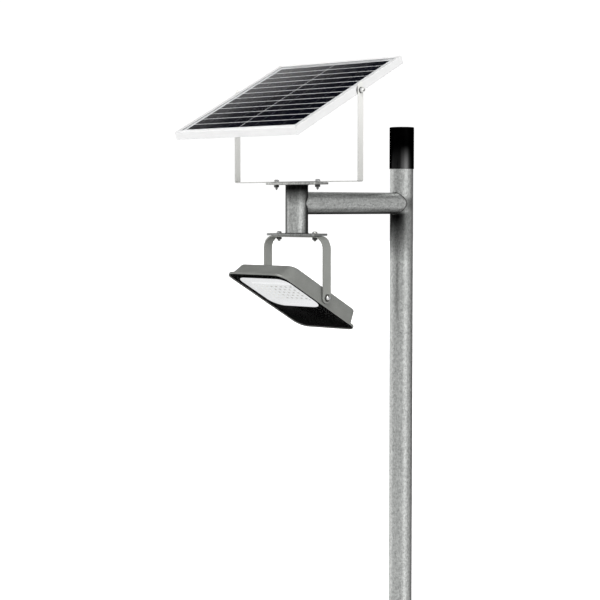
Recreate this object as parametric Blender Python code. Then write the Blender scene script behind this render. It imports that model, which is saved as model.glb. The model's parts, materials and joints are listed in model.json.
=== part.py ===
"""Solar street lamp: a tilting solar panel and an LED flood lamp, bracketed to a stub tube that a side
arm holds near the top of a round pole. Metres, +Z up, origin on the pole's axis at the underside of its
base flange. The arm runs from the pole towards -Y. Turned and lofted shapes are made with bmesh, and
holes with Booleans."""

import math

import bmesh
import bpy
from mathutils import Matrix

GAP = 0.0003  # left between pieces that touch
HOLE_PLAY = 0.0006  # a bolt hole's radius past its bolt's
WELD_DISTANCE = 0.00001

# Pole and base
POLE_RADIUS = 0.0265
POLE_WALL = 0.002
POLE_TOP = 2.1985
CAP_RADIUS = 0.028
CAP_TOP = 2.2
CAP_BOTTOM = 2.1053
FLANGE_SIDE = 0.300
FLANGE_THICK = 0.012
FLANGE_CORNER = 0.020
ANCHOR_SPACING = 0.230
ANCHOR_RADIUS = 0.008
GUSSET_FOOT = 0.075
GUSSET_HEIGHT = 0.100
GUSSET_NOSE = 0.012
GUSSET_THICK = 0.006

# Side arm, stub tube and its end plates
ARM_REACH = 0.350
ARM_RADIUS = 0.02415
ARM_WALL = 0.002
ARM_HEIGHT = 2.0273
PLATE_THICK = 0.0045
PLATE_DEPTH = 0.050
PLATE_CORNER = 0.006
UPPER_PLATE_TOP = 2.0708
UPPER_PLATE_LENGTH = 0.142
LOWER_PLATE_TOP = 1.9629
LOWER_PLATE_LENGTH = 0.136

# Solar panel, in a frame that turns about the pivots in its side rails
PANEL_WIDTH = 0.350
PANEL_LENGTH = 0.362
PANEL_TILT = math.radians(26.4)
PANEL_PIVOT_HEIGHT = 2.2571
PANEL_PIVOT_UP_SLOPE = 0.0256  # from the panel's middle
FRAME_DEPTH = 0.017
FRAME_TOP = 0.0115  # above the pivot
LIP_WIDTH = 0.010
LIP_THICK = 0.0012
RAIL_WALL = 0.0016
RAIL_EDGE = 0.0006
SHELF_WIDTH = 0.007
SHELF_THICK = 0.001
FOOT_WIDTH = 0.014
FOOT_THICK = 0.0014
GLASS_THICK = 0.003
GLASS_CORNER = 0.001
CELL_COLUMNS, CELL_ROWS = 2, 12
CELL_WIDTH, CELL_HEIGHT = 0.156, 0.026
CELL_GAP = 0.0012
CELL_THICK = 0.0003
BACKSHEET_THICK = 0.0004
JUNCTION_UP_SLOPE = 0.085  # from the pivot
JUNCTION_SIZE = (0.070, 0.052)
JUNCTION_DEPTH = 0.013
JUNCTION_WALL = 0.002

# Panel bracket, a flat strip bent to a square U
PANEL_STRIP_WIDTH = 0.016
PANEL_STRIP_THICK = 0.002
PANEL_BRACKET_WIDTH = 0.3582
PANEL_BRACKET_BEND = 0.004
PANEL_LEG_PAST_PIVOT = 0.017
PANEL_BOLT_SPACING = 0.1195

# Lamp bracket, a flat strip bent to an arch
LAMP_STRIP_WIDTH = 0.024
LAMP_STRIP_THICK = 0.003
LAMP_BRACKET_WIDTH = 0.1744
LAMP_BRACKET_BEND = 0.027
LAMP_BOLT_SPACING = 0.104

# Lamp, a flat die-cast flood light that turns about two side bolts
LAMP_WIDTH = 0.1664
LAMP_LENGTH = 0.268
LAMP_DEPTH = 0.0365
LAMP_CORNER = 0.025
LAMP_TILT = math.radians(27.7)
LAMP_PIVOT_HEIGHT = 1.8286
LAMP_PIVOT_DEPTH = 0.0177  # behind the front face
LAMP_PIVOT_BACK = 0.0102  # from the front face's middle, towards the pole
CASE_LIP_DEPTH = 0.0048
REBATE_DEPTH = 0.00405
BODY_WALL = 0.003
LAMP_GLASS_THICK = 0.0025
GASKET_THICK = 0.0008
MASK_THICK = 0.0005
WINDOW_HALF_WIDTH = 0.0725
WINDOW_ENDS = (-0.115, 0.0278)  # from the front face's middle
WINDOW_CORNER = 0.022
TRAY_FLOOR = 0.008
TRAY_WALL = 0.0012
LED_COLUMNS, LED_ROWS = 8, 5
LED_SIZE = 0.005
LED_HEIGHT = 0.0008
LED_GAP = 0.0087
LED_BOARD_MIDDLE = -0.036
LED_BOARD_HALF = (0.057, 0.037)
BOARD_THICK = 0.0016
FIN_COUNT = 9
FIN_THICK = 0.0022
FIN_GAP = 0.0108
FIN_HEIGHT = 0.003
FIN_ENDS = (-0.085, 0.030)  # from the front face's middle
BOSS_RADIUS = 0.008
BOSS_INNER_END = 0.067
CELL_18650_RADIUS, CELL_18650_LENGTH = 0.0092, 0.0652
BATTERY_MIDDLE = 0.054
BATTERY_AXIS_DEPTH = 0.0186
HOLDER_WALL = 0.0018
CONTROLLER_MIDDLE = 0.093
CONTROLLER_DEPTH = 0.022
CONTROLLER_HALF = (0.048, 0.012)
GLAND_BACK = 0.070  # from the front face's middle, towards the pole
VENT_SIDE = -0.038

# Fasteners
PLATE_BOLT_RADIUS = 0.003
PLATE_BOLT_HEAD = (0.0055, 0.004)  # radius and height
PANEL_PIVOT_RADIUS = 0.0029
PANEL_PIVOT_HEAD = (0.0037, 0.0028)
LAMP_PIVOT_RADIUS = 0.0039
LAMP_PIVOT_HEAD = (0.0065, 0.0048)
BOLT_PAST_NUT = 0.003
HOLE_REACH = 0.010  # a helper's length either side of a hole through a sheet
NUT_FLATS = 0.010
NUT_HEIGHT = 0.005
WASHER_RADIUS = 0.008
WASHER_THICK = 0.0012
SPACER_THICK = 0.0015

# Turns of a shape made along +Z
TO_PLUS_X = Matrix.Rotation(math.radians(90), 4, "Y")
TO_MINUS_X = Matrix.Rotation(math.radians(-90), 4, "Y")
TO_MINUS_Y = Matrix.Rotation(math.radians(90), 4, "X")
UPSIDE_DOWN = Matrix.Rotation(math.radians(180), 4, "X")
SIDES = (("left", -1), ("right", 1))
QUARTERS = ((1, 1), (-1, 1), (-1, -1), (1, -1))


# Objects and materials

def clear_scene():
    for obj in list(bpy.data.objects):
        bpy.data.objects.remove(obj, do_unlink=True)


def material(name, colour, roughness, metallic=0.0, transmission=0.0):
    made = bpy.data.materials.new(name)
    made.use_nodes = True
    made.diffuse_color = (*colour, 1.0)
    inputs = made.node_tree.nodes["Principled BSDF"].inputs
    inputs["Base Color"].default_value = (*colour, 1.0)
    inputs["Roughness"].default_value = roughness
    inputs["Metallic"].default_value = metallic
    inputs["Transmission Weight"].default_value = transmission
    return made


def place(name, bm, mat, parent=None, location=(0, 0, 0), turn=None):
    """Make an object of a bmesh, faces outward, with its round sides shaded smooth."""
    if turn is not None:
        bmesh.ops.transform(bm, matrix=turn, verts=bm.verts)
    bmesh.ops.recalc_face_normals(bm, faces=bm.faces)
    mesh = bpy.data.meshes.new(name)
    bm.to_mesh(mesh)
    bm.free()
    mesh.shade_smooth()
    mesh.set_sharp_from_angle(angle=math.radians(35))
    mesh.materials.append(mat)
    obj = bpy.data.objects.new(name, mesh)
    bpy.context.scene.collection.objects.link(obj)
    obj.parent = parent
    obj.location = location
    return obj


def combine(obj, operation, name, bm, parent=None, location=(0, 0, 0), turn=None):
    """Cut or join a helper shape, which is left out of renders."""
    other = place(name, bm, obj.data.materials[0], parent, location, turn)
    other.hide_render = True
    other.display_type = "WIRE"
    modifier = obj.modifiers.new(name, "BOOLEAN")
    modifier.operation = operation
    modifier.object = other


def weld_cuts():
    """Merge the doubled points that a row of Booleans can leave."""
    for obj in bpy.data.objects:
        if len(obj.modifiers):
            weld = obj.modifiers.new("weld", "WELD")
            weld.merge_threshold = WELD_DISTANCE


def pivot(name, height, turn):
    """An empty on a hinge axis, which runs along X over the stub tube."""
    empty = bpy.data.objects.new(name, None)
    bpy.context.scene.collection.objects.link(empty)
    empty.location = (0, -ARM_REACH, height)
    empty.rotation_euler = (turn, 0, 0)
    return empty


# Shapes

def turned(profile, segments=16):
    """Turn a profile of (radius, height) about Z. It starts and ends on the axis, or closes on itself."""
    bm = bmesh.new()
    rings = []
    for radius, height in profile:
        count = segments if radius > 0 else 1
        angles = [math.tau * (i + 0.5) / segments for i in range(count)]
        rings.append([bm.verts.new((radius * math.cos(a), radius * math.sin(a), height)) for a in angles])
    pairs = list(zip(rings, rings[1:]))
    if profile[0][0] > 0:
        pairs.append((rings[-1], rings[0]))
    for first, second in pairs:
        for i in range(segments):
            j = (i + 1) % segments
            low = [first[k % len(first)] for k in (i, j)]
            high = [second[k % len(second)] for k in (j, i)]
            bm.faces.new(list(dict.fromkeys(low + high)))
    return bm


def cylinder(radius, low, high, segments=16):
    return turned([(0, low), (radius, low), (radius, high), (0, high)], segments)


def tube(outer, inner, low, high, segments=16):
    return turned([(outer, low), (outer, high), (inner, high), (inner, low)], segments)


def rounded_outline(half_x, y_ends, radius, steps=6):
    """A rounded rectangle, anticlockwise, centred on X 0."""
    low_y, high_y = y_ends
    side, low, high = half_x - radius, low_y + radius, high_y - radius
    points = []
    for x, y, start in ((side, high, 0), (-side, high, 90), (-side, low, 180), (side, low, 270)):
        for step in range(steps + 1):
            angle = math.radians(start + 90 * step / steps)
            points.append((x + radius * math.cos(angle), y + radius * math.sin(angle)))
    return points


def lofted(loops, ring=False):
    """Join (outline, height) loops to one closed shell, capped at its two ends or closed to a ring."""
    bm = bmesh.new()
    rows = [[bm.verts.new((x, y, height)) for x, y in outline] for outline, height in loops]
    pairs = list(zip(rows, rows[1:]))
    if ring:
        pairs.append((rows[-1], rows[0]))
    else:
        bm.faces.new(rows[0])
        bm.faces.new(rows[-1])
    for first, second in pairs:
        for i in range(len(first)):
            j = (i + 1) % len(first)
            bm.faces.new((first[i], first[j], second[j], second[i]))
    bmesh.ops.triangulate(bm, faces=bm.faces)
    return bm


def slab(outline, low, high):
    return lofted([(outline, low), (outline, high)])


def open_box(outer, inner, closed_end, open_end, floor):
    """A box with one open side: its floor runs from closed_end to floor."""
    return lofted([(outer, closed_end), (outer, open_end), (inner, open_end), (inner, floor)])


def spans(count, width, gap):
    """Equal spans with equal gaps, centred on zero."""
    first = (gap - count * (width + gap)) / 2
    starts = [first + i * (width + gap) for i in range(count)]
    return [(start, start + width) for start in starts]


def padded_sheet(x_pads, y_pads, half_x, half_y, thick, pad):
    """A sheet with its back on Z 0 and a raised rectangle where each X span crosses each Y span."""
    bm = bmesh.new()
    xs = [-half_x, *(value for span in x_pads for value in span), half_x]
    ys = [-half_y, *(value for span in y_pads for value in span), half_y]
    back = [[bm.verts.new((x, y, 0)) for x in xs] for y in ys]
    front = [[bm.verts.new((x, y, thick)) for x in xs] for y in ys]
    for row in range(len(ys) - 1):
        for col in range(len(xs) - 1):
            cells = ((row, col), (row, col + 1), (row + 1, col + 1), (row + 1, col))
            bm.faces.new([back[r][c] for r, c in cells])
            base = [front[r][c] for r, c in cells]
            if row % 2 and col % 2:
                raised = [bm.verts.new((v.co.x, v.co.y, thick + pad)) for v in base]
                for i in range(4):
                    j = (i + 1) % 4
                    bm.faces.new((base[i], base[j], raised[j], raised[i]))
                base = raised
            bm.faces.new(base)
    last_row, last_col = len(ys) - 1, len(xs) - 1
    rim = [(0, c) for c in range(last_col)] + [(r, last_col) for r in range(last_row)]
    rim += [(last_row, c) for c in range(last_col, 0, -1)] + [(r, 0) for r in range(last_row, 0, -1)]
    for (r, c), (s, d) in zip(rim, rim[1:] + rim[:1]):
        bm.faces.new((back[r][c], back[s][d], front[s][d], front[r][c]))
    return bm


def bent_strip(width, height, bend, strip_width, thick):
    """A flat strip bent to a U that stands on Z 0 with its round-ended legs up and its breadth along Y."""
    half = strip_width / 2
    leg_x = (width - thick) / 2
    angles = [math.radians(a) for a in (18, 36, 54, 72, 90)]
    leg = [(height - half * (1 - math.cos(a)), half * math.sin(a)) for a in angles]
    stations = [(-leg_x, z, -1.0, 0.0, reach) for z, reach in leg]
    bend_steps = 8
    for centre_x, start in ((bend - width / 2, 180), (width / 2 - bend, 270)):
        for step in range(bend_steps + 1):
            angle = math.radians(start + 90 * step / bend_steps)
            out_x, out_z = math.cos(angle), math.sin(angle)
            middle = bend - thick / 2
            stations.append((centre_x + middle * out_x, bend + middle * out_z, out_x, out_z, half))
    stations += [(leg_x, z, 1.0, 0.0, reach) for z, reach in reversed(leg)]
    bm = bmesh.new()
    rows = []
    for x, z, out_x, out_z, reach in stations:
        corners = ((1, -1), (1, 1), (-1, 1), (-1, -1))
        rows.append([
            bm.verts.new((x + side * thick / 2 * out_x, edge * reach, z + side * thick / 2 * out_z))
            for side, edge in corners
        ])
    bm.faces.new(rows[0])
    bm.faces.new(rows[-1])
    for first, second in zip(rows, rows[1:]):
        for i in range(4):
            j = (i + 1) % 4
            bm.faces.new((first[i], first[j], second[j], second[i]))
    return bm


def domed_bolt(shank, length, head_size):
    """A bolt with its head on Z 0 and its shank below."""
    head, head_height = head_size
    tip = 0.3 * shank
    rim = 0.4 * head_height
    angles = [math.radians(a) for a in (0, 22, 44, 66)]
    dome = [(head * math.cos(a), rim + (head_height - rim) * math.sin(a)) for a in angles]
    profile = [(0, -length), (shank - tip, -length), (shank, tip - length), (shank, 0), (head, 0)]
    return turned([*profile, *dome, (0, head_height)])


def hex_nut(flats, bore, height):
    """A nut on Z 0 with chamfered corners, from a point at each corner and at the middle of each flat."""
    corner = flats / math.sqrt(3)
    inner = flats / 2

    def ring(*radii):
        angles = [math.radians(30 * i) for i in range(12)]
        return [(radii[i % len(radii)] * math.cos(a), radii[i % len(radii)] * math.sin(a))
                for i, a in enumerate(angles)]

    hexagon, trimmed, hole = ring(corner, inner), ring(inner), ring(bore)
    edge = 0.07 * flats
    loops = [
        (trimmed, 0), (hexagon, edge), (hexagon, height - edge), (trimmed, height),
        (hole, height), (hole, 0),
    ]
    return lofted(loops, ring=True)


def gland(thread, body, bore, inside):
    """A cable gland on a wall at Z 0: its thread reaches in, and its body and domed nut stand outside."""
    profile = [
        (bore, -inside), (thread, -inside), (thread, GAP), (body, GAP), (body, 0.005),
        (body * 0.88, 0.0056), (body * 0.94, 0.0066), (body * 0.94, 0.0115), (body * 0.62, 0.0150),
        (bore, 0.0150),
    ]
    return turned(profile)


# Pole, base, arm and plates

def make_base(steel):
    bottom = FLANGE_THICK + GAP
    half = FLANGE_SIDE / 2
    outline = rounded_outline(half, (-half, half), FLANGE_CORNER)
    flange = place("base_flange", slab(outline, 0, FLANGE_THICK), steel)
    for i in range(4):
        x, y = (ANCHOR_SPACING / 2 * sign for sign in QUARTERS[i])
        hole = cylinder(ANCHOR_RADIUS, -HOLE_REACH, FLANGE_THICK + HOLE_REACH)
        combine(flange, "DIFFERENCE", f"anchor_hole_{i + 1}", hole, location=(x, y, 0))
        inner = POLE_RADIUS + GAP
        outline = [
            (inner, 0), (inner + GUSSET_FOOT, 0), (inner + GUSSET_FOOT, GUSSET_NOSE),
            (inner + GUSSET_NOSE, GUSSET_HEIGHT), (inner, GUSSET_HEIGHT),
        ]
        upright = Matrix.Rotation(math.radians(90 * i), 4, "Z") @ Matrix.Rotation(math.radians(90), 4, "X")
        gusset = slab(outline, -GUSSET_THICK / 2, GUSSET_THICK / 2)
        place(f"base_gusset_{i + 1}", gusset, steel, location=(0, 0, bottom), turn=upright)


def make_pole(steel, black):
    inner = POLE_RADIUS - POLE_WALL
    place("pole_tube", tube(POLE_RADIUS, inner, FLANGE_THICK + GAP, POLE_TOP, 48), steel)
    bore = POLE_RADIUS + GAP
    edge = 0.001
    profile = [
        (0, CAP_TOP), (CAP_RADIUS - edge, CAP_TOP), (CAP_RADIUS, CAP_TOP - edge), (CAP_RADIUS, CAP_BOTTOM),
        (bore, CAP_BOTTOM), (bore, POLE_TOP + GAP), (0, POLE_TOP + GAP),
    ]
    place("pole_cap", turned(profile, 48), black)


def make_arm(steel):
    arm = tube(ARM_RADIUS, ARM_RADIUS - ARM_WALL, 0, ARM_REACH, 48)
    arm = place("arm_tube", arm, steel, location=(0, 0, ARM_HEIGHT), turn=TO_MINUS_Y)
    reach = 2 * ARM_RADIUS
    for name, y, radius in (("pole_saddle", 0, POLE_RADIUS), ("stub_saddle", -ARM_REACH, ARM_RADIUS)):
        saddle = cylinder(radius + GAP, -reach, reach, 48)
        combine(arm, "DIFFERENCE", name, saddle, location=(0, y, ARM_HEIGHT))
    low, high = LOWER_PLATE_TOP + GAP, UPPER_PLATE_TOP - PLATE_THICK - GAP
    stub = tube(ARM_RADIUS, ARM_RADIUS - ARM_WALL, low, high, 48)
    place("stub_tube", stub, steel, location=(0, -ARM_REACH, 0))


def bolt_holes(obj, spacing, height):
    for side, sign in SIDES:
        hole = cylinder(PLATE_BOLT_RADIUS + HOLE_PLAY, -HOLE_REACH, HOLE_REACH)
        where = (sign * spacing / 2, -ARM_REACH, height)
        combine(obj, "DIFFERENCE", f"{obj.name}_hole_{side}", hole, location=where)


def make_plates(steel):
    for name, top, length, spacing in (
        ("upper_plate", UPPER_PLATE_TOP, UPPER_PLATE_LENGTH, PANEL_BOLT_SPACING),
        ("lower_plate", LOWER_PLATE_TOP, LOWER_PLATE_LENGTH, LAMP_BOLT_SPACING),
    ):
        outline = rounded_outline(length / 2, (-PLATE_DEPTH / 2, PLATE_DEPTH / 2), PLATE_CORNER, 4)
        plate = slab(outline, top - PLATE_THICK, top)
        plate = place(name, plate, steel, location=(0, -ARM_REACH, 0))
        bolt_holes(plate, spacing, top)


def make_bracket(name, mat, base_height, turn, size, pivot_height, pivot_radius, spacing):
    """A bent strip bolted to a plate, with a pivot hole near the end of each leg."""
    bracket = place(name, bent_strip(*size), mat, location=(0, -ARM_REACH, base_height), turn=turn)
    pin = cylinder(pivot_radius + HOLE_PLAY, -size[0], size[0])
    where = (0, -ARM_REACH, pivot_height)
    combine(bracket, "DIFFERENCE", f"{name}_pivot_hole", pin, None, where, TO_PLUS_X)
    bolt_holes(bracket, spacing, base_height)


def make_brackets(pale, grey):
    base = UPPER_PLATE_TOP + GAP
    height = PANEL_PIVOT_HEIGHT + PANEL_LEG_PAST_PIVOT - base
    size = (PANEL_BRACKET_WIDTH, height, PANEL_BRACKET_BEND, PANEL_STRIP_WIDTH, PANEL_STRIP_THICK)
    pivot_at = (PANEL_PIVOT_HEIGHT, PANEL_PIVOT_RADIUS)
    make_bracket("panel_bracket", pale, base, None, size, *pivot_at, PANEL_BOLT_SPACING)
    base = LOWER_PLATE_TOP - PLATE_THICK - GAP
    height = base - LAMP_PIVOT_HEIGHT + LAMP_STRIP_WIDTH / 2
    size = (LAMP_BRACKET_WIDTH, height, LAMP_BRACKET_BEND, LAMP_STRIP_WIDTH, LAMP_STRIP_THICK)
    pivot_at = (LAMP_PIVOT_HEIGHT, LAMP_PIVOT_RADIUS)
    make_bracket("lamp_bracket", grey, base, UPSIDE_DOWN, size, *pivot_at, LAMP_BOLT_SPACING)


def make_plate_bolts(zinc):
    upper_head = UPPER_PLATE_TOP + PANEL_STRIP_THICK + 2 * GAP
    upper_nut = UPPER_PLATE_TOP - PLATE_THICK - GAP
    lower_head = LOWER_PLATE_TOP + GAP
    lower_nut = LOWER_PLATE_TOP - PLATE_THICK - LAMP_STRIP_THICK - 2 * GAP
    for name, spacing, head, nut_top in (
        ("panel_bracket", PANEL_BOLT_SPACING, upper_head, upper_nut),
        ("lamp_bracket", LAMP_BOLT_SPACING, lower_head, lower_nut),
    ):
        for side, sign in SIDES:
            x = sign * spacing / 2
            length = head - nut_top + NUT_HEIGHT + BOLT_PAST_NUT
            bolt = domed_bolt(PLATE_BOLT_RADIUS, length, PLATE_BOLT_HEAD)
            place(f"{name}_bolt_{side}", bolt, zinc, location=(x, -ARM_REACH, head))
            nut = hex_nut(NUT_FLATS, PLATE_BOLT_RADIUS + GAP, NUT_HEIGHT)
            place(f"{name}_nut_{side}", nut, zinc, location=(x, -ARM_REACH, nut_top - NUT_HEIGHT))


# Panel, modelled about its pivot: X across, Y up the slope, Z out of the glass

def rail(length):
    """A mitred frame rail along X, its outer face on Y 0: a lip and a shelf hold the glass, over a foot."""
    bottom = FRAME_TOP - FRAME_DEPTH
    lip = FRAME_TOP - LIP_THICK
    shelf_top = lip - GLASS_THICK - 2 * CELL_THICK - BACKSHEET_THICK - 4 * GAP
    shelf_bottom = shelf_top - SHELF_THICK
    profile = [
        (RAIL_EDGE, bottom), (FOOT_WIDTH, bottom), (FOOT_WIDTH, bottom + FOOT_THICK),
        (RAIL_WALL, bottom + FOOT_THICK), (RAIL_WALL, shelf_bottom), (SHELF_WIDTH, shelf_bottom),
        (SHELF_WIDTH, shelf_top), (RAIL_WALL, shelf_top), (RAIL_WALL, lip), (LIP_WIDTH, lip),
        (LIP_WIDTH, FRAME_TOP), (RAIL_EDGE, FRAME_TOP), (0, FRAME_TOP - RAIL_EDGE), (0, bottom + RAIL_EDGE),
    ]
    bm = bmesh.new()
    ends = [
        [bm.verts.new((end * (length / 2 - inward - GAP), inward, z)) for inward, z in profile]
        for end in (-1, 1)
    ]
    for end in ends:
        bm.faces.new(end)
    for i in range(len(profile)):
        j = (i + 1) % len(profile)
        bm.faces.new((ends[0][i], ends[0][j], ends[1][j], ends[1][i]))
    return bm


def make_frame(aluminium, panel_pivot, middle):
    for name, length, x, y, turn in (
        ("front", PANEL_WIDTH, 0, -PANEL_LENGTH / 2, 0),
        ("right", PANEL_LENGTH, PANEL_WIDTH / 2, 0, 90),
        ("rear", PANEL_WIDTH, 0, PANEL_LENGTH / 2, 180),
        ("left", PANEL_LENGTH, -PANEL_WIDTH / 2, 0, 270),
    ):
        turned_rail = Matrix.Rotation(math.radians(turn), 4, "Z")
        where = (x, middle + y, 0)
        made = place(f"frame_rail_{name}", rail(length), aluminium, panel_pivot, where, turned_rail)
        if x:
            hole = cylinder(PANEL_PIVOT_RADIUS + HOLE_PLAY, -HOLE_REACH, HOLE_REACH)
            combine(made, "DIFFERENCE", f"rail_hole_{name}", hole, panel_pivot, (x, 0, 0), TO_PLUS_X)


def make_laminate(glass, cells, white, panel_pivot, middle):
    half_x = PANEL_WIDTH / 2 - RAIL_WALL - GAP
    half_y = PANEL_LENGTH / 2 - RAIL_WALL - GAP
    glass_bottom = FRAME_TOP - LIP_THICK - GAP - GLASS_THICK
    outline = rounded_outline(half_x, (-half_y, half_y), GLASS_CORNER, 1)
    where = (0, middle, 0)
    sheet = slab(outline, glass_bottom, glass_bottom + GLASS_THICK)
    place("panel_glass", sheet, glass, panel_pivot, where)
    cells_back = glass_bottom - GAP - 2 * CELL_THICK
    columns = spans(CELL_COLUMNS, CELL_WIDTH, CELL_GAP)
    rows = spans(CELL_ROWS, CELL_HEIGHT, CELL_GAP)
    sheet = padded_sheet(columns, rows, half_x, half_y, CELL_THICK, CELL_THICK)
    place("solar_cells", sheet, cells, panel_pivot, (0, middle, cells_back))
    back_top = cells_back - GAP
    sheet = slab(outline, back_top - BACKSHEET_THICK, back_top)
    place("panel_backsheet", sheet, white, panel_pivot, where)
    return back_top - BACKSHEET_THICK - GAP


def make_junction_box(black, panel_pivot, top):
    half_x, half_y = (side / 2 for side in JUNCTION_SIZE)
    outer = rounded_outline(half_x, (-half_y, half_y), 0.005, 3)
    inner = rounded_outline(
        half_x - JUNCTION_WALL, (JUNCTION_WALL - half_y, half_y - JUNCTION_WALL), 0.003, 3
    )
    rim = top - JUNCTION_DEPTH
    where = (0, JUNCTION_UP_SLOPE, 0)
    box = open_box(outer, inner, top, rim, top - JUNCTION_WALL)
    box = place("junction_box", box, black, panel_pivot, where)
    rim -= GAP
    place("junction_box_lid", slab(outer, rim - JUNCTION_WALL, rim), black, panel_pivot, where)
    thread, body, bore = 0.0042, 0.0056, 0.0022
    axis_height = top - JUNCTION_DEPTH / 2
    where = (0, JUNCTION_UP_SLOPE - half_y, axis_height)
    hole = cylinder(thread + HOLE_PLAY, -HOLE_REACH, HOLE_REACH)
    combine(box, "DIFFERENCE", "junction_box_hole", hole, panel_pivot, where, TO_MINUS_Y)
    inside = JUNCTION_WALL + 0.002
    place("junction_box_gland", gland(thread, body, bore, inside), black, panel_pivot, where, TO_MINUS_Y)


def make_panel_pivots(zinc, nylon, panel_pivot):
    """On each side, from the rail's channel outward: bolt head, rail, spacer, bracket leg, washer, nut."""
    head = PANEL_WIDTH / 2 - RAIL_WALL - GAP
    spacer = PANEL_WIDTH / 2 + GAP
    pivot_washer = PANEL_BRACKET_WIDTH / 2 + GAP
    pivot_nut = pivot_washer + WASHER_THICK + GAP
    tip = pivot_nut + NUT_HEIGHT + BOLT_PAST_NUT
    bore = PANEL_PIVOT_RADIUS + GAP
    turns = ((TO_MINUS_X, TO_PLUS_X), (TO_PLUS_X, TO_MINUS_X))
    for (side, sign), (outward, inward) in zip(SIDES, turns):
        bolt = domed_bolt(PANEL_PIVOT_RADIUS, tip - head, PANEL_PIVOT_HEAD)
        place(f"panel_pivot_bolt_{side}", bolt, zinc, panel_pivot, (sign * head, 0, 0), inward)
        for name, bm, mat, x in (
            ("spacer", tube(WASHER_RADIUS, bore, 0, SPACER_THICK), nylon, spacer),
            ("washer", tube(WASHER_RADIUS, bore, 0, WASHER_THICK), zinc, pivot_washer),
            ("nut", hex_nut(NUT_FLATS, bore, NUT_HEIGHT), zinc, pivot_nut),
        ):
            place(f"panel_pivot_{name}_{side}", bm, mat, panel_pivot, (sign * x, 0, 0), outward)


# Lamp, modelled about the middle of its front face: X across, Y towards the pole, Z to its rear

def lamp_outline(side_inset, front_inset, pole_inset, corner):
    """The front face's outline, drawn in at its sides, its front end and its pole end."""
    half_y = LAMP_LENGTH / 2
    return rounded_outline(LAMP_WIDTH / 2 - side_inset, (front_inset - half_y, half_y - pole_inset), corner)


REBATE = (0.0013, 0.0016, 0.0016, LAMP_CORNER - 0.0014)
GLASS_EDGE = (0.0016, 0.0019, 0.0019, LAMP_CORNER - 0.0017)
GASKET_INNER = (0.0061, 0.0132, 0.0132, 0.0185)
CAVITY_MOUTH = (0.0064, 0.0135, 0.0135, 0.0180)
CAVITY_FLOOR = (0.0072, 0.0305, 0.0205, 0.0130)


def housing_shell():
    """A tapered case with a thin lip round its open front, from its rear face round to its cavity."""
    loops = [
        ((0.0052, 0.0300, 0.0195, 0.0150), LAMP_DEPTH),
        ((0.0035, 0.0282, 0.0177, 0.0163), LAMP_DEPTH - 0.0012),
        ((0.0027, 0.0270, 0.0165, 0.0170), LAMP_DEPTH - 0.0035),
        ((0.0018, 0.0080, 0.0115, 0.0220), CASE_LIP_DEPTH + 0.0014),
        ((0.0, 0.0, 0.0, LAMP_CORNER), CASE_LIP_DEPTH),
        ((0.0, 0.0, 0.0, LAMP_CORNER), 0.0006),
        ((0.0005, 0.0005, 0.0005, LAMP_CORNER - 0.0005), 0.0),
        (REBATE, 0.0),
        (REBATE, REBATE_DEPTH),
        (CAVITY_MOUTH, REBATE_DEPTH),
        (CAVITY_FLOOR, LAMP_DEPTH - BODY_WALL),
    ]
    return lofted([(lamp_outline(*shape), depth) for shape, depth in loops])


def fin_block():
    bm = bmesh.new()
    low, high = LAMP_DEPTH - BODY_WALL / 2, LAMP_DEPTH + FIN_HEIGHT
    length = FIN_ENDS[1] - FIN_ENDS[0]
    for start, end in spans(FIN_COUNT, FIN_THICK, FIN_GAP):
        middle = ((start + end) / 2, sum(FIN_ENDS) / 2, (low + high) / 2)
        size = (end - start, length, high - low)
        bmesh.ops.create_cube(bm, size=1.0, matrix=Matrix.LocRotScale(middle, None, size))
    return bm


def make_housing(grey, black, lamp_pivot, face):
    housing = place("lamp_housing", housing_shell(), grey, lamp_pivot, face)
    combine(housing, "UNION", "rear_fins", fin_block(), lamp_pivot, face)
    boss_face = LAMP_WIDTH / 2
    for (side, sign), outward in zip(SIDES, (TO_MINUS_X, TO_PLUS_X)):
        boss = cylinder(BOSS_RADIUS, BOSS_INNER_END, boss_face)
        combine(housing, "UNION", f"pivot_boss_{side}", boss, lamp_pivot, (0, 0, 0), outward)
        hole = cylinder(LAMP_PIVOT_RADIUS + HOLE_PLAY, BOSS_INNER_END + 0.002, boss_face + HOLE_REACH)
        combine(housing, "DIFFERENCE", f"pivot_bore_{side}", hole, lamp_pivot, (0, 0, 0), outward)
    wall = BODY_WALL + 0.001
    for name, x, thread, body, bore in (
        ("lamp_cable_gland", 0, 0.0058, 0.0078, 0.0030),
        ("lamp_vent_plug", VENT_SIDE, 0.0040, 0.0060, 0.0010),
    ):
        where = (x, face[1] + GLAND_BACK, face[2] + LAMP_DEPTH)
        hole = cylinder(thread + HOLE_PLAY, -HOLE_REACH, HOLE_REACH)
        combine(housing, "DIFFERENCE", f"{name}_hole", hole, lamp_pivot, where)
        place(name, gland(thread, body, bore, wall), black, lamp_pivot, where)


def make_front(glass, rubber, black, lamp_pivot, face):
    back = GAP / 2 + LAMP_GLASS_THICK
    place("lamp_glass", slab(lamp_outline(*GLASS_EDGE), GAP / 2, back), glass, lamp_pivot, face)
    front = back + GAP
    outer, inner = lamp_outline(*GLASS_EDGE), lamp_outline(*GASKET_INNER)
    rear = front + GASKET_THICK
    gasket = lofted([(outer, front), (outer, rear), (inner, rear), (inner, front)], ring=True)
    place("glass_gasket", gasket, rubber, lamp_pivot, face)
    outer = lamp_outline(*CAVITY_MOUTH)
    inner = rounded_outline(WINDOW_HALF_WIDTH, WINDOW_ENDS, WINDOW_CORNER)
    rear = front + MASK_THICK
    mask = lofted([(outer, front), (outer, rear), (inner, rear), (inner, front)], ring=True)
    place("window_mask", mask, black, lamp_pivot, face)
    return rear + GAP


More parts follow.
